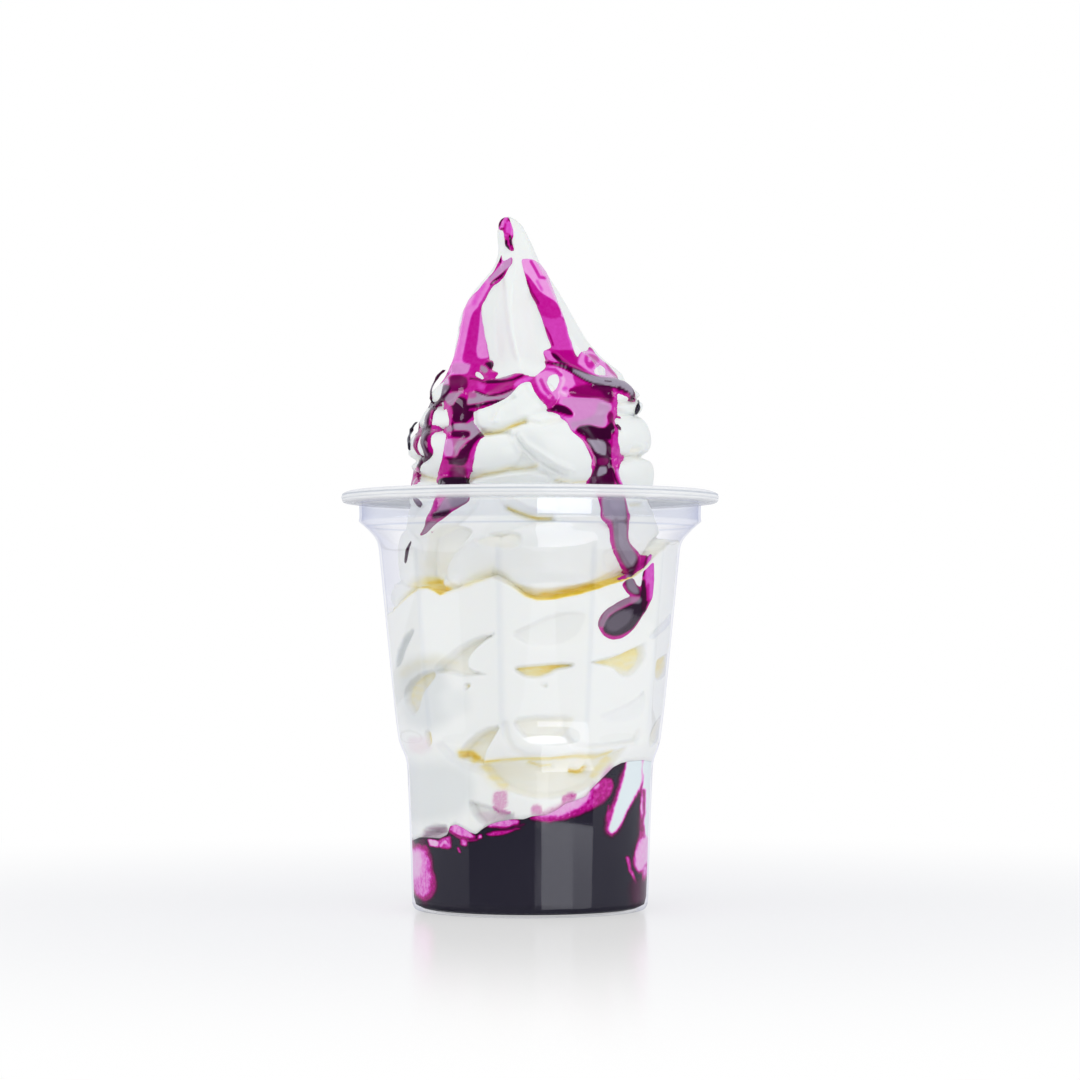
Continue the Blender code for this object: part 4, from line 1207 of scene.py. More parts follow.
def make_drizzle(step=0.345, low=63.0):
    deg = np.concatenate([np.arange(-180.0, -113.0, 1.1), np.arange(-113.0, 109.0, 0.5),
                          np.arange(109.0, 179.5, 1.1)])
    heights = np.arange(low, TIP - 0.05, step)
    D, Z = np.meshgrid(deg, heights)
    x, y, z, _ = swirl_point(D, Z)
    px, py = to_frame(x, y, z)
    facing = y < 7.0
    # round the sides, out of the photo's sight, the film ends in an uneven edge
    turned = np.clip(4.3 + 3.0 * unrest(x, y, z, 11.0), 2.2, 6.6) - y
    d = np.full(px.shape, -99.0)
    for patch in DRIZZLE_PATCHES:
        d = soft_max(d, patch_distance(px, py, patch), 1.2)
    for line, widths in DRIZZLE_LINES:
        d = soft_max(d, stroke_distance(px, py, line, widths), 1.2)
    for hole in DRIZZLE_HOLES:
        d = np.minimum(d, -patch_distance(px, py, hole))
    d = soft_min(d + 0.5 * unrest(x, y, z, 3.0), 4.0 * turned, 1.5)
    d = np.where(facing & (np.abs(D) < 104.0), d, -99.0)
    thick = paint(px, py, 0.5, DRIZZLE_MARKS)
    d_mm = d / 4.0
    radius = table(Z, SWIRL_FINE, 1)
    for line, widths in BACK_LINES:
        for turn in (0.0, -360.0):
            u = np.radians(D) * radius
            best = np.full(px.shape, -99.0)
            pts = [(math.radians(a + turn), h) for a, h in line]
            for k in range(len(pts) - 1):
                (a0, h0), (a1, h1) = pts[k], pts[k + 1]
                ax, bx = a0 * radius, a1 * radius
                dx, dy = bx - ax, h1 - h0
                t = np.clip(((u - ax) * dx + (Z - h0) * dy) / (dx * dx + dy * dy), 0, 1)
                far = np.hypot(u - ax - t * dx, Z - h0 - t * dy)
                wide = widths[k] * (1 - t) + widths[k + 1] * t
                best = np.maximum(best, wide - far)
            best = best + 0.25 * unrest(x, y, z, 6.0)
            d_mm = np.maximum(d_mm, best)
            behind = best > -1.0
            tone = 0.55 + 0.3 * unrest(x, y, z, 12.0) + 0.25 * (1 - smooth(112, 135, Z))
            thick = np.where(behind, np.clip(tone, 0.3, 0.95), thick)
    t = np.clip(d_mm / 1.1, 0.0, 1.0)
    rise = (0.38 + 0.42 * smooth(0.3, 0.9, thick)) * np.sqrt(1.0 - (1.0 - t) ** 2)
    rope, widths = DRIZZLE_LINES[0]
    rope_d = stroke_distance(px, py, rope, widths) / 4.0
    rise = rise + 0.75 * smooth(-0.15, 0.4, rope_d) * facing
    rise = rise + 0.05 * unrest(x, y, z, 11.0) * smooth(0.2, 1.2, d_mm)
    rise = np.where(d_mm > 0, rise, np.maximum(-0.35, d_mm * 1.4))

    sx, sy, sz = blur(x, 17), blur(y, 17), blur(z, 17)
    rise = blur(rise, 2)
    du = np.stack([np.roll(f, -1, 1) - np.roll(f, 1, 1) for f in (sx, sy, sz)], -1)
    dv = np.stack([np.gradient(f, axis=0) for f in (sx, sy, sz)], -1)
    normal = np.cross(du, dv)
    normal /= np.maximum(np.linalg.norm(normal, axis=-1, keepdims=True), 1e-9)
    base = np.stack([sx, sy, sz], -1)
    raw = np.stack([x, y, z], -1)
    lift = np.sum((raw - base) * normal, -1)
    off = np.where(rise > 0, np.maximum(rise, lift + 0.4 * rise), lift + rise)
    outer = base + normal * off[..., None]
    under = raw - normal * 0.5
    # against the plastic the syrup spreads flat
    for pts in (outer, under):
        reach = np.hypot(pts[..., 0], pts[..., 1])
        wall = wall_in(np.degrees(np.arctan2(pts[..., 0], -pts[..., 1])), pts[..., 2])
        most = wall + (0.3 if pts is outer else -0.2)
        k = np.where(pts[..., 2] < LIP_TOP, np.minimum(1.0, most / np.maximum(reach, 1e-6)),
                     1.0)
        pts[..., 0] *= k
        pts[..., 1] *= k
    # the marks are placed where the raised film is seen
    qx, qy = to_frame(outer[..., 0], outer[..., 1], outer[..., 2])
    front = facing & (np.abs(D) < 104.0)
    thick = np.where(front, paint(qx, qy, 0.5, DRIZZLE_MARKS), thick)
    # painted highlight: grey-lilac sheen painted into the film's colour
    milk_and_painted_sheen = paint(qx, qy, 0.0, PAINTED_SHEEN_MARKS) * front
    keep = rise > -0.3
    nxt = np.roll(keep, -1, 1)
    cell = keep[:-1] & nxt[:-1] & keep[1:] & nxt[1:]
    wet = (rise > 0)
    wet_cell = wet[:-1] | np.roll(wet, -1, 1)[:-1] | wet[1:] | np.roll(wet, -1, 1)[1:]
    cell &= wet_cell
    # cells that only touch at a corner are joined up
    for _ in range(8):
        a, b = cell[:-1].copy(), np.roll(cell, -1, 1)[:-1]
        c, e = cell[1:].copy(), np.roll(cell, -1, 1)[1:]
        down, up = a & e & ~b & ~c, b & c & ~a & ~e
        cell[1:] |= down
        cell[:-1] |= up
    fore = (deg >= -113.0) & (deg < 108.9)
    return [drizzle_piece("syrup_drizzle", cell & fore, outer, under, thick, milk_and_painted_sheen),
            drizzle_piece("syrup_drizzle_back", cell & ~fore, outer, under, thick, milk_and_painted_sheen)]


def drizzle_piece(name, cell, outer, under, thick, milk_and_painted_sheen):
    """A closed film over the chosen cells of the grid."""
    cols = cell.shape[1]
    used = np.zeros((cell.shape[0] + 1, cols), bool)
    used[:-1] |= cell
    used[1:] |= cell
    used[:-1] |= np.roll(cell, 1, 1)
    used[1:] |= np.roll(cell, 1, 1)
    number = np.full(used.shape, -1)
    number[used] = np.arange(used.sum())
    n = int(used.sum())
    verts = np.vstack([outer[used], under[used]])
    faces = []
    rr, cc = np.nonzero(cell)
    for r, c in zip(rr.tolist(), cc.tolist()):
        e = (c + 1) % cols
        q = (int(number[r, c]), int(number[r, e]), int(number[r + 1, e]),
             int(number[r + 1, c]))
        faces.append(q)
        faces.append((q[3] + n, q[2] + n, q[1] + n, q[0] + n))
    seen = {}
    for k in range(0, len(faces), 2):
        q = faces[k]
        for a, b in zip(q, q[1:] + q[:1]):
            seen[(a, b)] = seen.get((a, b), 0) + 1
    for (a, b) in list(seen):
        if (b, a) not in seen:
            faces.append((b, a, a + n, b + n))
    thing = mesh_object(name, verts, faces)
    point_attribute(thing, "thick", np.concatenate([thick[used], thick[used]]))
    point_attribute(thing, "milk_and_painted_sheen", np.concatenate([milk_and_painted_sheen[used], milk_and_painted_sheen[used]]))
    return thing


# threads and drops at the sides: half width (px) and points in the frame, then how
# thick the syrup looks on the outer and on the inner side
STRANDS = (
    ([(446, 370, 0.7), (439, 376, 0.9), (434, 384, 0.9), (432, 392, 1.0),
      (432.6, 400, 1.0), (435, 406, 0.9)], 0.86, 0.80),
    ([(418.5, 421, 0.8), (413.5, 427, 1.2), (410.8, 434, 1.3), (409.8, 441, 1.6),
      (411, 448, 1.6), (415.5, 454, 1.0)], 1.0, 0.95),
    ([(637.2, 399, 0.5), (637.4, 405, 1.4), (636.6, 409, 2.3), (635, 413, 1.4),
      (634.6, 415, 0.5)], 1.0, 0.97),
    ([(614, 417, 1.6), (618, 418, 1.3), (621, 418.6, 0.6)], 0.55, 0.5),
    ([(614, 425, 1.8), (618, 428, 1.5), (621, 431, 0.6)], 0.8, 0.7),
    ([(617, 461, 1.2), (621.5, 462, 0.6)], 0.7, 0.6),
)


def on_skin(px, py, side):
    """The point of the swirl seen at a place of the frame, on the left (-1) or the
    right (1); beyond the outline, the outline itself moved out to that place."""
    z = 68.7 + (636.0 - py) * 835.0 / FOCAL
    deg = side * np.linspace(8.0, 112.0, 209)
    for _ in range(3):
        x, y, high, _tone = swirl_point(deg, np.full(deg.shape, z))
        qx, qy = to_frame(x, y, high)
        best = int(np.argmin((qx - px) ** 2 + 0.2 * (qy - py) ** 2 + 0.002 * y))
        z += (qy[best] - py) * 835.0 / FOCAL * 0.7
    point = np.array([x[best], y[best], high[best]])
    point[0] += (px - qx[best]) * 835.0 / FOCAL
    return point


def spline(rows, step):
    """Points along a smooth run through rows of numbers, a step apart."""
    rows = [np.array(r, float) for r in rows]
    rows = [2 * rows[0] - rows[1]] + rows + [2 * rows[-1] - rows[-2]]
    out = []
    for a, b, c, d in zip(rows, rows[1:], rows[2:], rows[3:]):
        n = max(2, int(np.linalg.norm((c - b)[:2]) / step))
        for t in np.arange(n) / n:
            out.append(0.5 * (2 * b + (c - a) * t + (2 * a - 5 * b + 4 * c - d) * t * t
                              + (3 * b - a - 3 * c + d) * t ** 3))
    return out + [rows[-2]]


def make_strands(sides=16):
    verts, faces, tones = [], [], []
    for rows, outer_tone, inner_tone in STRANDS:
        side = -1.0 if rows[0][0] < 530 else 1.0
        run = spline(rows, 2.0)
        line = np.array([on_skin(px, py, side) for px, py, _w in run])
        for _ in range(2):
            line[1:-1] = (line[:-2] + 2 * line[1:-1] + line[2:]) / 4.0
        ahead = np.gradient(line, axis=0)
        ahead /= np.linalg.norm(ahead, axis=1, keepdims=True)
        out = np.array([(p[0] + 3.0, p[1], 0.0) for p in line])
        out -= ahead * np.sum(out * ahead, 1, keepdims=True)
        out /= np.linalg.norm(out, axis=1, keepdims=True)
        across = np.cross(ahead, out)
        wide = np.array([w for _x, _y, w in run]) / 4.0 \
            / np.maximum(np.hypot(across[:, 0], across[:, 2]), 0.55)
        first = len(verts)
        ends = []
        for k, (p, o, s, w) in enumerate(zip(line, out, across, wide)):
            if k in (0, len(line) - 1):
                ends.append(len(verts))
                verts.append(tuple(p + 0.15 * o))
                tones.append(outer_tone)
                if k:
                    continue
            for i in range(sides if k else 0):
                turn = math.tau * i / sides
                high = min(w, 0.6) * (0.95 + 0.1 * math.sin(k * 1.7))
                q = p + s * w * math.cos(turn) + o * (high * math.sin(turn) + 0.3)
                verts.append(tuple(q))
                left = q[0] * side > p[0] * side
                tones.append(outer_tone if left else inner_tone)
        rings = len(line) - 2
        start = first + 1
        for k in range(rings - 1):
            for i in range(sides):
                j = (i + 1) % sides
                a = start + k * sides
                faces.append((a + i, a + sides + i, a + sides + j, a + j))
        for i in range(sides):
            j = (i + 1) % sides
            faces.append((first, start + i, start + j))
            a = start + (rings - 1) * sides
            faces.append((ends[1], a + j, a + i))
    thing = mesh_object("syrup_threads", verts, faces)
    point_attribute(thing, "thick", tones)
    point_attribute(thing, "milk_and_painted_sheen", np.zeros(len(verts)))
    return thing


# ---------------------------------------------------------------- materials
def material(name, **values):
    mat = bpy.data.materials.new(name)
    mat.use_nodes = True
    shader = mat.node_tree.nodes["Principled BSDF"]
    for key, value in values.items():
        shader.inputs[key.replace("_", " ")].default_value = value
    return mat, mat.node_tree, shader


def node(tree, kind, **settings):
    n = tree.nodes.new(kind)
    for key, value in settings.items():
        setattr(n, key, value)
    return n


def cream_material(name, white):
    """Matt vanilla cream, with painted warm shade, yellow to orange, deep in its creases and hollows, pink
    where syrup ran in.
    """
    mat, tree, shader = material(name, Roughness=0.42,
                                 Subsurface_Weight=0.15,
                                 Subsurface_Scale=0.0012,
                                 Specular_IOR_Level=0.35)
    shader.inputs["Subsurface Radius"].default_value = (1.0, 0.8, 0.55)
    # painted shade: the crease attribute turns the cream yellow to orange, and darker, where shade falls in
    # creases
    attr = node(tree, "ShaderNodeAttribute", attribute_name="crease_shade")
    ramp = node(tree, "ShaderNodeValToRGB")
    stops = ((0.0, white), (0.3, (0.93, 0.915, 0.80)),
             (0.55, (0.94, 0.84, 0.44)), (0.8, (0.93, 0.69, 0.13)),
             (1.0, (0.85, 0.58, 0.03)))
    e = ramp.color_ramp.elements
    e[0].position, e[0].color = stops[0][0], stops[0][1] + (1,)
    e[1].position, e[1].color = stops[-1][0], stops[-1][1] + (1,)
    for place, colour in stops[1:-1]:
        ramp.color_ramp.elements.new(place).color = colour + (1,)
    coord = node(tree, "ShaderNodeTexCoord")
    # broken streaks in the painted yellow crease shade and the pink
    grain = node(tree, "ShaderNodeTexNoise")
    grain.inputs["Scale"].default_value = 420.0
    grain.inputs["Detail"].default_value = 4.0
    stretch = node(tree, "ShaderNodeMapping")
    stretch.inputs["Scale"].default_value = (0.5, 0.5, 2.2)
    tree.links.new(coord.outputs["Object"], stretch.inputs["Vector"])
    tree.links.new(stretch.outputs["Vector"], grain.inputs["Vector"])
    patchy = node(tree, "ShaderNodeMapRange")
    patchy.inputs["From Min"].default_value = 0.3
    patchy.inputs["From Max"].default_value = 0.7
    patchy.inputs["To Min"].default_value = 0.72
    patchy.inputs["To Max"].default_value = 1.12
    tree.links.new(grain.outputs["Fac"], patchy.inputs["Value"])
    tinted = node(tree, "ShaderNodeMath", operation="MULTIPLY", use_clamp=True)
    tree.links.new(attr.outputs["Fac"], tinted.inputs[0])
    tree.links.new(patchy.outputs["Result"], tinted.inputs[1])
    tree.links.new(tinted.outputs["Value"], ramp.inputs["Fac"])
    berry = node(tree, "ShaderNodeAttribute", attribute_name="berry")
    pink = node(tree, "ShaderNodeValToRGB")
    e = pink.color_ramp.elements
    e[0].position, e[0].color = 0.25, (0.80, 0.56, 0.70, 1)
    e[1].position, e[1].color = 1.0, (0.50, 0.01, 0.28, 1)
    pink.color_ramp.elements.new(0.6).color = (0.74, 0.30, 0.58, 1)
    speck = node(tree, "ShaderNodeTexNoise")
    speck.inputs["Scale"].default_value = 2600.0
    speck.inputs["Detail"].default_value = 3.0
    tree.links.new(coord.outputs["Object"], speck.inputs["Vector"])
    broken = node(tree, "ShaderNodeMapRange")
    broken.inputs["From Min"].default_value = 0.35
    broken.inputs["From Max"].default_value = 0.65
    broken.inputs["To Min"].default_value = 0.72
    broken.inputs["To Max"].default_value = 1.15
    tree.links.new(speck.outputs["Fac"], broken.inputs["Value"])
    much = node(tree, "ShaderNodeMath", operation="MULTIPLY", use_clamp=True)
    tree.links.new(berry.outputs["Fac"], much.inputs[0])
    tree.links.new(broken.outputs["Result"], much.inputs[1])
    tree.links.new(much.outputs["Value"], pink.inputs["Fac"])
    cover = node(tree, "ShaderNodeMapRange")
    cover.inputs["From Max"].default_value = 0.35
    tree.links.new(much.outputs["Value"], cover.inputs["Value"])
    both = node(tree, "ShaderNodeMix", data_type="RGBA")
    tree.links.new(cover.outputs["Result"], both.inputs["Factor"])
    tree.links.new(ramp.outputs["Color"], both.inputs[6])
    tree.links.new(pink.outputs["Color"], both.inputs[7])
    # painted shade: darkens the cream by the shade marks on the mesh
    painted_cream_shade = node(tree, "ShaderNodeAttribute", attribute_name="painted_cream_shade")
    grey = node(tree, "ShaderNodeMix", data_type="RGBA", blend_type="MULTIPLY")
    grey.inputs[7].default_value = (0.72, 0.74, 0.765, 1)
    tree.links.new(painted_cream_shade.outputs["Fac"], grey.inputs["Factor"])
    tree.links.new(both.outputs[2], grey.inputs[6])
    tree.links.new(grey.outputs[2], shader.inputs["Base Color"])
    noise = node(tree, "ShaderNodeTexNoise")
    noise.inputs["Scale"].default_value = 900.0
    noise.inputs["Detail"].default_value = 3.0
    bump = node(tree, "ShaderNodeBump")
    bump.inputs["Strength"].default_value = 0.10
    bump.inputs["Distance"].default_value = 0.0002
    tree.links.new(coord.outputs["Object"], noise.inputs["Vector"])
    tree.links.new(noise.outputs["Fac"], bump.inputs["Height"])
    tree.links.new(bump.outputs["Normal"], shader.inputs["Normal"])
    return mat


def syrup_material(name, gloss, level):
    """Berry syrup: pale where it is thin, almost black where it lies thick; its grey-lilac patches are
    painted highlights.
    """
    mat, tree, shader = material(name, Roughness=gloss, Specular_IOR_Level=level,
                                 IOR=1.3)
    shader.inputs["Specular Tint"].default_value = (0.93, 0.84, 1.0, 1)
    attr = node(tree, "ShaderNodeAttribute", attribute_name="thick")
    coord = node(tree, "ShaderNodeTexCoord")
    noise = node(tree, "ShaderNodeTexNoise")
    noise.inputs["Scale"].default_value = 900.0
    noise.inputs["Detail"].default_value = 4.0
    noise.inputs["Roughness"].default_value = 0.6
    tree.links.new(coord.outputs["Object"], noise.inputs["Vector"])
    # blotches only where syrup and cream mix
    band = node(tree, "ShaderNodeValToRGB")
    e = band.color_ramp.elements
    e[0].position, e[0].color = 0.08, (0, 0, 0, 1)
    e[1].position, e[1].color = 0.98, (0, 0, 0, 1)
    mid = band.color_ramp.elements.new(0.35)
    mid.color = (1, 1, 1, 1)
    mid = band.color_ramp.elements.new(0.6)
    mid.color = (0.6, 0.6, 0.6, 1)
    lift = node(tree, "ShaderNodeMath", operation="SUBTRACT")
    lift.inputs[1].default_value = 0.5
    swing = node(tree, "ShaderNodeMath", operation="MULTIPLY")
    much = node(tree, "ShaderNodeMath", operation="MULTIPLY")
    much.inputs[1].default_value = 0.80 if "pool" in name else 0.12
    total = node(tree, "ShaderNodeMath", operation="ADD")
    ramp = node(tree, "ShaderNodeValToRGB")
    stops = ((0.0, (0.80, 0.89, 0.92)), (0.10, (0.86, 0.56, 0.82)),
             (0.22, (0.84, 0.30, 0.74)), (0.36, (0.72, 0.075, 0.58)),
             (0.52, (0.53, 0.001, 0.28)), (0.66, (0.32, 0.001, 0.15)),
             (0.82, (0.085, 0.001, 0.05)), (0.92, (0.03, 0.002, 0.022)),
             (1.0, (0.018, 0.016, 0.030)))
    e = ramp.color_ramp.elements
    e[0].position, e[0].color = stops[0][0], stops[0][1] + (1,)
    e[1].position, e[1].color = stops[-1][0], stops[-1][1] + (1,)
    for place, colour in stops[1:-1]:
        ramp.color_ramp.elements.new(place).color = colour + (1,)
    tree.links.new(attr.outputs["Fac"], band.inputs["Fac"])
    tree.links.new(noise.outputs["Fac"], lift.inputs[0])
    tree.links.new(lift.outputs["Value"], swing.inputs[0])
    tree.links.new(band.outputs["Color"], swing.inputs[1])
    tree.links.new(swing.outputs["Value"], much.inputs[0])
    tree.links.new(attr.outputs["Fac"], total.inputs[0])
    tree.links.new(much.outputs["Value"], total.inputs[1])
    tree.links.new(total.outputs["Value"], ramp.inputs["Fac"])
    # painted highlight: the sheen attribute mixes in a grey-lilac colour and makes the film rougher
    milk_and_painted_sheen = node(tree, "ShaderNodeAttribute", attribute_name="milk_and_painted_sheen")
    dull = node(tree, "ShaderNodeMapRange")
    dull.inputs["To Min"].default_value = gloss
    dull.inputs["To Max"].default_value = 0.4
    tree.links.new(milk_and_painted_sheen.outputs["Fac"], dull.inputs["Value"])
    tree.links.new(dull.outputs["Result"], shader.inputs["Roughness"])
    both = node(tree, "ShaderNodeMix", data_type="RGBA")
    both.inputs[7].default_value = (0.38, 0.335, 0.43, 1)
    tree.links.new(milk_and_painted_sheen.outputs["Fac"], both.inputs["Factor"])
    tree.links.new(ramp.outputs["Color"], both.inputs[6])
    tree.links.new(both.outputs[2], shader.inputs["Base Color"])
    return mat


def plastic_material():
    """Thin clear plastic: see-through face on, paler and glossier towards the
    edges, milky where the lip is curled over."""
    mat = bpy.data.materials.new("clear_plastic")
    mat.use_nodes = True
    tree = mat.node_tree
    tree.nodes.clear()
    out = node(tree, "ShaderNodeOutputMaterial")
    see = node(tree, "ShaderNodeBsdfTransparent")
    facing = node(tree, "ShaderNodeLayerWeight")
    facing.inputs["Blend"].default_value = 0.5
    tint = node(tree, "ShaderNodeValToRGB")
    e = tint.color_ramp.elements
    e[0].position, e[0].color = 0.0, (0.998, 0.998, 0.999, 1)
    e[1].position, e[1].color = 1.0, (0.90, 0.905, 0.94, 1)
    mid = tint.color_ramp.elements.new(0.6)
    mid.color = (0.985, 0.986, 0.993, 1)
    tree.links.new(facing.outputs["Facing"], tint.inputs["Fac"])
    # painted shade from the cup mesh greys what is seen through the plastic
    painted_shade = node(tree, "ShaderNodeAttribute", attribute_name="painted_shade")
    greyer = node(tree, "ShaderNodeMix", data_type="RGBA", blend_type="MULTIPLY")
    greyer.inputs[7].default_value = (0.89, 0.905, 0.95, 1)
    tree.links.new(painted_shade.outputs["Fac"], greyer.inputs["Factor"])
    tree.links.new(tint.outputs["Color"], greyer.inputs[6])
    tree.links.new(greyer.outputs[2], see.inputs["Color"])
    gloss = node(tree, "ShaderNodeBsdfGlossy")
    gloss.inputs["Roughness"].default_value = 0.03
    gloss.inputs["Color"].default_value = (0.91, 0.92, 0.99, 1)
    power = node(tree, "ShaderNodeMath", operation="POWER")
    power.inputs[1].default_value = 4.5
    share = node(tree, "ShaderNodeMapRange")
    share.inputs["To Min"].default_value = 0.03
    share.inputs["To Max"].default_value = 0.33
    tree.links.new(facing.outputs["Facing"], power.inputs[0])
    tree.links.new(power.outputs["Value"], share.inputs["Value"])
    milk_and_painted_sheen = node(tree, "ShaderNodeBsdfDiffuse")
    # painted shade also darkens the milky lip colour along the painted rim lines
    painted_lip_shade = node(tree, "ShaderNodeMix", data_type="RGBA", blend_type="MULTIPLY")
    painted_lip_shade.inputs[6].default_value = (0.91, 0.92, 0.935, 1)
    painted_lip_shade.inputs[7].default_value = (0.67, 0.70, 0.75, 1)
    tree.links.new(painted_shade.outputs["Fac"], painted_lip_shade.inputs["Factor"])
    tree.links.new(painted_lip_shade.outputs[2], milk_and_painted_sheen.inputs["Color"])
    lip = node(tree, "ShaderNodeAttribute", attribute_name="lip")
    body = node(tree, "ShaderNodeMixShader")
    tree.links.new(lip.outputs["Fac"], body.inputs["Fac"])
    tree.links.new(see.outputs["BSDF"], body.inputs[1])
    tree.links.new(milk_and_painted_sheen.outputs["BSDF"], body.inputs[2])
    mix = node(tree, "ShaderNodeMixShader")
    tree.links.new(share.outputs["Result"], mix.inputs["Fac"])
    tree.links.new(body.outputs["Shader"], mix.inputs[1])
    tree.links.new(gloss.outputs["BSDF"], mix.inputs[2])
    tree.links.new(mix.outputs["Shader"], out.inputs["Surface"])
    return mat


def wear(thing, mat):
    thing.data.materials.clear()
    thing.data.materials.append(mat)


# ------------------------------------------------------------------ pieces
cup = make_cup()
wear(cup, plastic_material())
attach(cup, "root")
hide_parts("cup")

JOIN = 103.0       # the swirl is made in two lengths that meet behind the lip
# lit and shaded copies of one cream: the length in the cup is painted whiter to make up for the plastic in
# front of it, the peak painted greyer where light from above is strongest
for name, start, stop, white in (
        ("soft_serve_in_cup", None, JOIN, (0.945, 0.965, 0.95)),
        ("soft_serve_peak", JOIN, None, (0.862, 0.892, 0.888))):
    swirl = make_swirl(name, start, stop)
    wear(swirl, cream_material("vanilla_" + name, white))
    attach(swirl, "root")
    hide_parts("ice_cream")

pool = make_pool()
wear(pool, syrup_material("berry_syrup_pool", 0.3, 0.05))
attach(pool, "root")
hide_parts("syrup_pool")

for drizzle in (*make_drizzle(), make_strands()):
    wear(drizzle, syrup_material("glossy_" + drizzle.name, 0.04, 0.9))
    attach(drizzle, "root")

# ------------------------------------------------------- floor, light, world
bpy.ops.mesh.primitive_plane_add(size=60.0, location=(0, 0, 0))
floor = bpy.context.object
floor.name = "floor"
mat, tree, shader = material("pale_floor", Roughness=0.16, Specular_IOR_Level=0.5)
shader.inputs["Base Color"].default_value = (0.86, 0.86, 0.86, 1)
coord = node(tree, "ShaderNodeTexCoord")
apart = node(tree, "ShaderNodeVectorMath", operation="LENGTH")
fade = node(tree, "ShaderNodeMapRange", interpolation_type="SMOOTHSTEP")
fade.inputs["From Min"].default_value = 0.05
fade.inputs["From Max"].default_value = 0.33
fade.inputs["To Min"].default_value = 0.52
seen = node(tree, "ShaderNodeLightPath")
dim = node(tree, "ShaderNodeMapRange")
dim.inputs["To Min"].default_value = 0.12
dim.inputs["To Max"].default_value = 1.0
white = node(tree, "ShaderNodeEmission")
both = node(tree, "ShaderNodeMixShader")
tree.links.new(coord.outputs["Object"], apart.inputs[0])
tree.links.new(apart.outputs["Value"], fade.inputs["Value"])
tree.links.new(seen.outputs["Is Camera Ray"], dim.inputs["Value"])
bounce = node(tree, "ShaderNodeMath", operation="MULTIPLY_ADD")
bounce.inputs[1].default_value = 0.84
tree.links.new(seen.outputs["Is Diffuse Ray"], bounce.inputs[0])
tree.links.new(dim.outputs["Result"], bounce.inputs[2])

# pale cards lying round about, which only the gloss of the cup mirrors
spot = node(tree, "ShaderNodeSeparateXYZ")
tree.links.new(coord.outputs["Object"], spot.inputs["Vector"])


def strip(point, turn, low, high):
    """1 where a point lies between two lines that run at an angle round from the
    front: low and high are distances to the right of the point, in metres."""
    c, s = math.cos(math.radians(turn)), math.sin(math.radians(turn))
    a = node(tree, "ShaderNodeMath", operation="MULTIPLY_ADD")
    a.inputs[1].default_value = c
    a.inputs[2].default_value = -(point[0] * c + point[1] * s)
    b = node(tree, "ShaderNodeMath", operation="MULTIPLY_ADD")
    b.inputs[1].default_value = s
    tree.links.new(spot.outputs["X"], a.inputs[0])
    tree.links.new(spot.outputs["Y"], b.inputs[0])
    tree.links.new(a.outputs["Value"], b.inputs[2])
    return between(b.outputs["Value"], low, high)


def between(socket, low, high):
    up = node(tree, "ShaderNodeMath", operation="GREATER_THAN")
    up.inputs[1].default_value = low
    down = node(tree, "ShaderNodeMath", operation="LESS_THAN")
    down.inputs[1].default_value = high
    tree.links.new(socket, up.inputs[0])
    tree.links.new(socket, down.inputs[0])
    return product(up.outputs["Value"], down.outputs["Value"])


def product(one, other):
    times = node(tree, "ShaderNodeMath", operation="MULTIPLY")
    tree.links.new(one, times.inputs[0])
    tree.links.new(other, times.inputs[1])
    return times.outputs["Value"]


ahead = between(spot.outputs["Y"], -1.0, 0.0)
near = product(product(strip((0.003, -0.030), 11.0, 0.0, 1.0),
                       strip((0.0157, -0.0258), 62.0, -1.0, 0.0)),
               product(ahead, between(apart.outputs["Value"], 0.036, 0.214)))
far_card = product(product(strip((0.0, 0.0), 13.0, -0.03, 0.014), ahead),
                   between(apart.outputs["Value"], 0.20, 0.50))
cards = node(tree, "ShaderNodeMath", operation="MULTIPLY_ADD")
cards.inputs[1].default_value = 3.6
aside = node(tree, "ShaderNodeMath", operation="MAXIMUM")
tree.links.new(strip((0.0157, -0.0258), 62.0, 0.0, 1.0), aside.inputs[0])
tree.links.new(strip((-0.0157, -0.0258), -60.0, -1.0, 0.0), aside.inputs[1])
aside = product(aside.outputs["Value"], between(apart.outputs["Value"], 0.036, 0.60))
tree.links.new(near, cards.inputs[0])
weak = node(tree, "ShaderNodeMath", operation="MULTIPLY")
weak.inputs[1].default_value = 0.7
tree.links.new(far_card, weak.inputs[0])
rear = node(tree, "ShaderNodeMath", operation="MULTIPLY_ADD")
rear.inputs[1].default_value = 0.75
tree.links.new(between(spot.outputs["Y"], 0.62, 40.0), rear.inputs[0])
tree.links.new(weak.outputs["Value"], rear.inputs[2])
beside = node(tree, "ShaderNodeMath", operation="MULTIPLY_ADD")
beside.inputs[1].default_value = 0.86
tree.links.new(aside, beside.inputs[0])
tree.links.new(rear.outputs["Value"], beside.inputs[2])
tree.links.new(beside.outputs["Value"], cards.inputs[2])
glow = node(tree, "ShaderNodeMath", operation="ADD")
tree.links.new(bounce.outputs["Value"], glow.inputs[0])
tree.links.new(product(cards.outputs["Value"], seen.outputs["Is Glossy Ray"]),
               glow.inputs[1])
tree.links.new(glow.outputs["Value"], white.inputs["Strength"])
tree.links.new(fade.outputs["Result"], both.inputs["Fac"])
tree.links.new(shader.outputs["BSDF"], both.inputs[1])
tree.links.new(white.outputs["Emission"], both.inputs[2])
tree.links.new(both.outputs["Shader"],
               tree.nodes["Material Output"].inputs["Surface"])
wear(floor, mat)

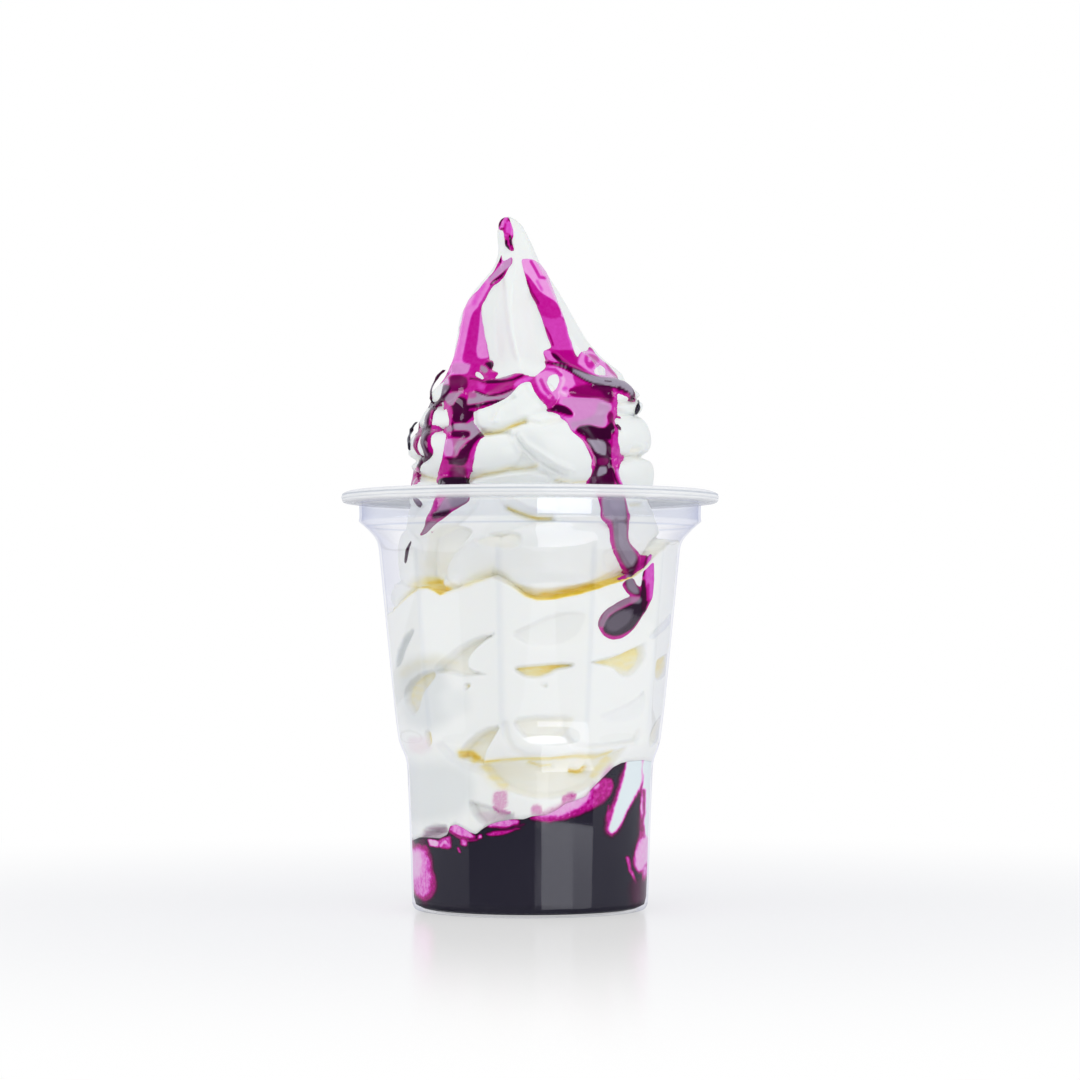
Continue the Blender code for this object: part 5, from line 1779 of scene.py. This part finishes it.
world = bpy.data.worlds.new("studio")
bpy.context.scene.world = world
world.use_nodes = True
tree = world.node_tree
tree.nodes.clear()
out = node(tree, "ShaderNodeOutputWorld")
back = node(tree, "ShaderNodeBackground")
coord = node(tree, "ShaderNodeTexCoord")
split = node(tree, "ShaderNodeSeparateXYZ")
ramp = node(tree, "ShaderNodeValToRGB")
span = node(tree, "ShaderNodeMapRange")
span.inputs["From Min"].default_value = -1.0
span.inputs["From Max"].default_value = 1.0
e = ramp.color_ramp.elements
e[0].position, e[0].color = 0.35, (0.02, 0.018, 0.026, 1)
e[1].position, e[1].color = 0.97, (0.74, 0.75, 0.82, 1)
mid = ramp.color_ramp.elements.new(0.6)
mid.color = (0.12, 0.12, 0.15, 1)
path = node(tree, "ShaderNodeLightPath")
mix = node(tree, "ShaderNodeMix", data_type="RGBA")
mix.inputs[7].default_value = (1.0, 1.0, 1.0, 1)
tree.links.new(coord.outputs["Generated"], split.inputs["Vector"])
tree.links.new(split.outputs["Y"], span.inputs["Value"])
tree.links.new(span.outputs["Result"], ramp.inputs["Fac"])
tree.links.new(ramp.outputs["Color"], mix.inputs[6])
tree.links.new(path.outputs["Is Camera Ray"], mix.inputs["Factor"])
soft = node(tree, "ShaderNodeMix", data_type="RGBA")
level = node(tree, "ShaderNodeValToRGB")
e = level.color_ramp.elements
e[0].position, e[0].color = 0.5, (0.95, 0.955, 0.95, 1)
e[1].position, e[1].color = 0.95, (0.66, 0.665, 0.66, 1)
rise = node(tree, "ShaderNodeMapRange")
rise.inputs["From Min"].default_value = -1.0
tree.links.new(split.outputs["Z"], rise.inputs["Value"])
tree.links.new(rise.outputs["Result"], level.inputs["Fac"])
tree.links.new(level.outputs["Color"], soft.inputs[7])
tree.links.new(mix.outputs[2], soft.inputs[6])
tree.links.new(path.outputs["Is Diffuse Ray"], soft.inputs["Factor"])
tree.links.new(soft.outputs[2], back.inputs["Color"])
tree.links.new(back.outputs["Background"], out.inputs["Surface"])


def softbox(name, azimuth, height, far, size, radiance):
    """A soft panel seen from the cup at an angle round from the front (degrees),
    at a height angle, so far away, facing the cup."""
    a, h = math.radians(azimuth - 90.0), math.radians(height)
    aim = Vector((0.0, 0.0, 0.09))
    place = aim + far * Vector((math.cos(a) * math.cos(h), math.sin(a) * math.cos(h),
                                math.sin(h)))
    light = bpy.data.lights.new(name, "AREA")
    light.shape = "RECTANGLE"
    light.size, light.size_y = size
    light.energy = radiance * size[0] * size[1] * math.pi
    thing = bpy.data.objects.new(name, light)
    bpy.context.scene.collection.objects.link(thing)
    thing.location = place
    thing.rotation_euler = (place - aim).to_track_quat("Z", "Y").to_euler()
    thing.visible_camera = False
    return thing


# panels the gloss mirrors, and others that only fill
for name, azimuth, height, far, size, radiance, kind in (
        ("shine_left", -98.0, 27.0, 1.4, (0.42, 0.34), 3.4, "glossy"),
        ("shine_far_left", -136.0, 24.0, 1.4, (0.95, 0.95), 0.3, "glossy"),
        ("shine_right", 88.0, 27.0, 1.4, (0.50, 0.34), 3.4, "glossy"),
        ("shine_front", 23.0, 0.0, 1.4, (0.92, 0.86), 5.0, "glossy"),
        ("fill_left", -70.0, 40.0, 1.4, (0.9, 0.8), 1.2, "diffuse"),
        ("fill_top", 6.0, 66.0, 1.45, (0.9, 0.9), 1.1, "diffuse"),
        ("fill_right", 72.0, 30.0, 1.4, (0.9, 0.8), 1.25, "diffuse")):
    panel = softbox(name, azimuth, height, far, size, radiance)
    if kind == "glossy":
        panel.visible_diffuse = False
    else:
        panel.visible_glossy = False
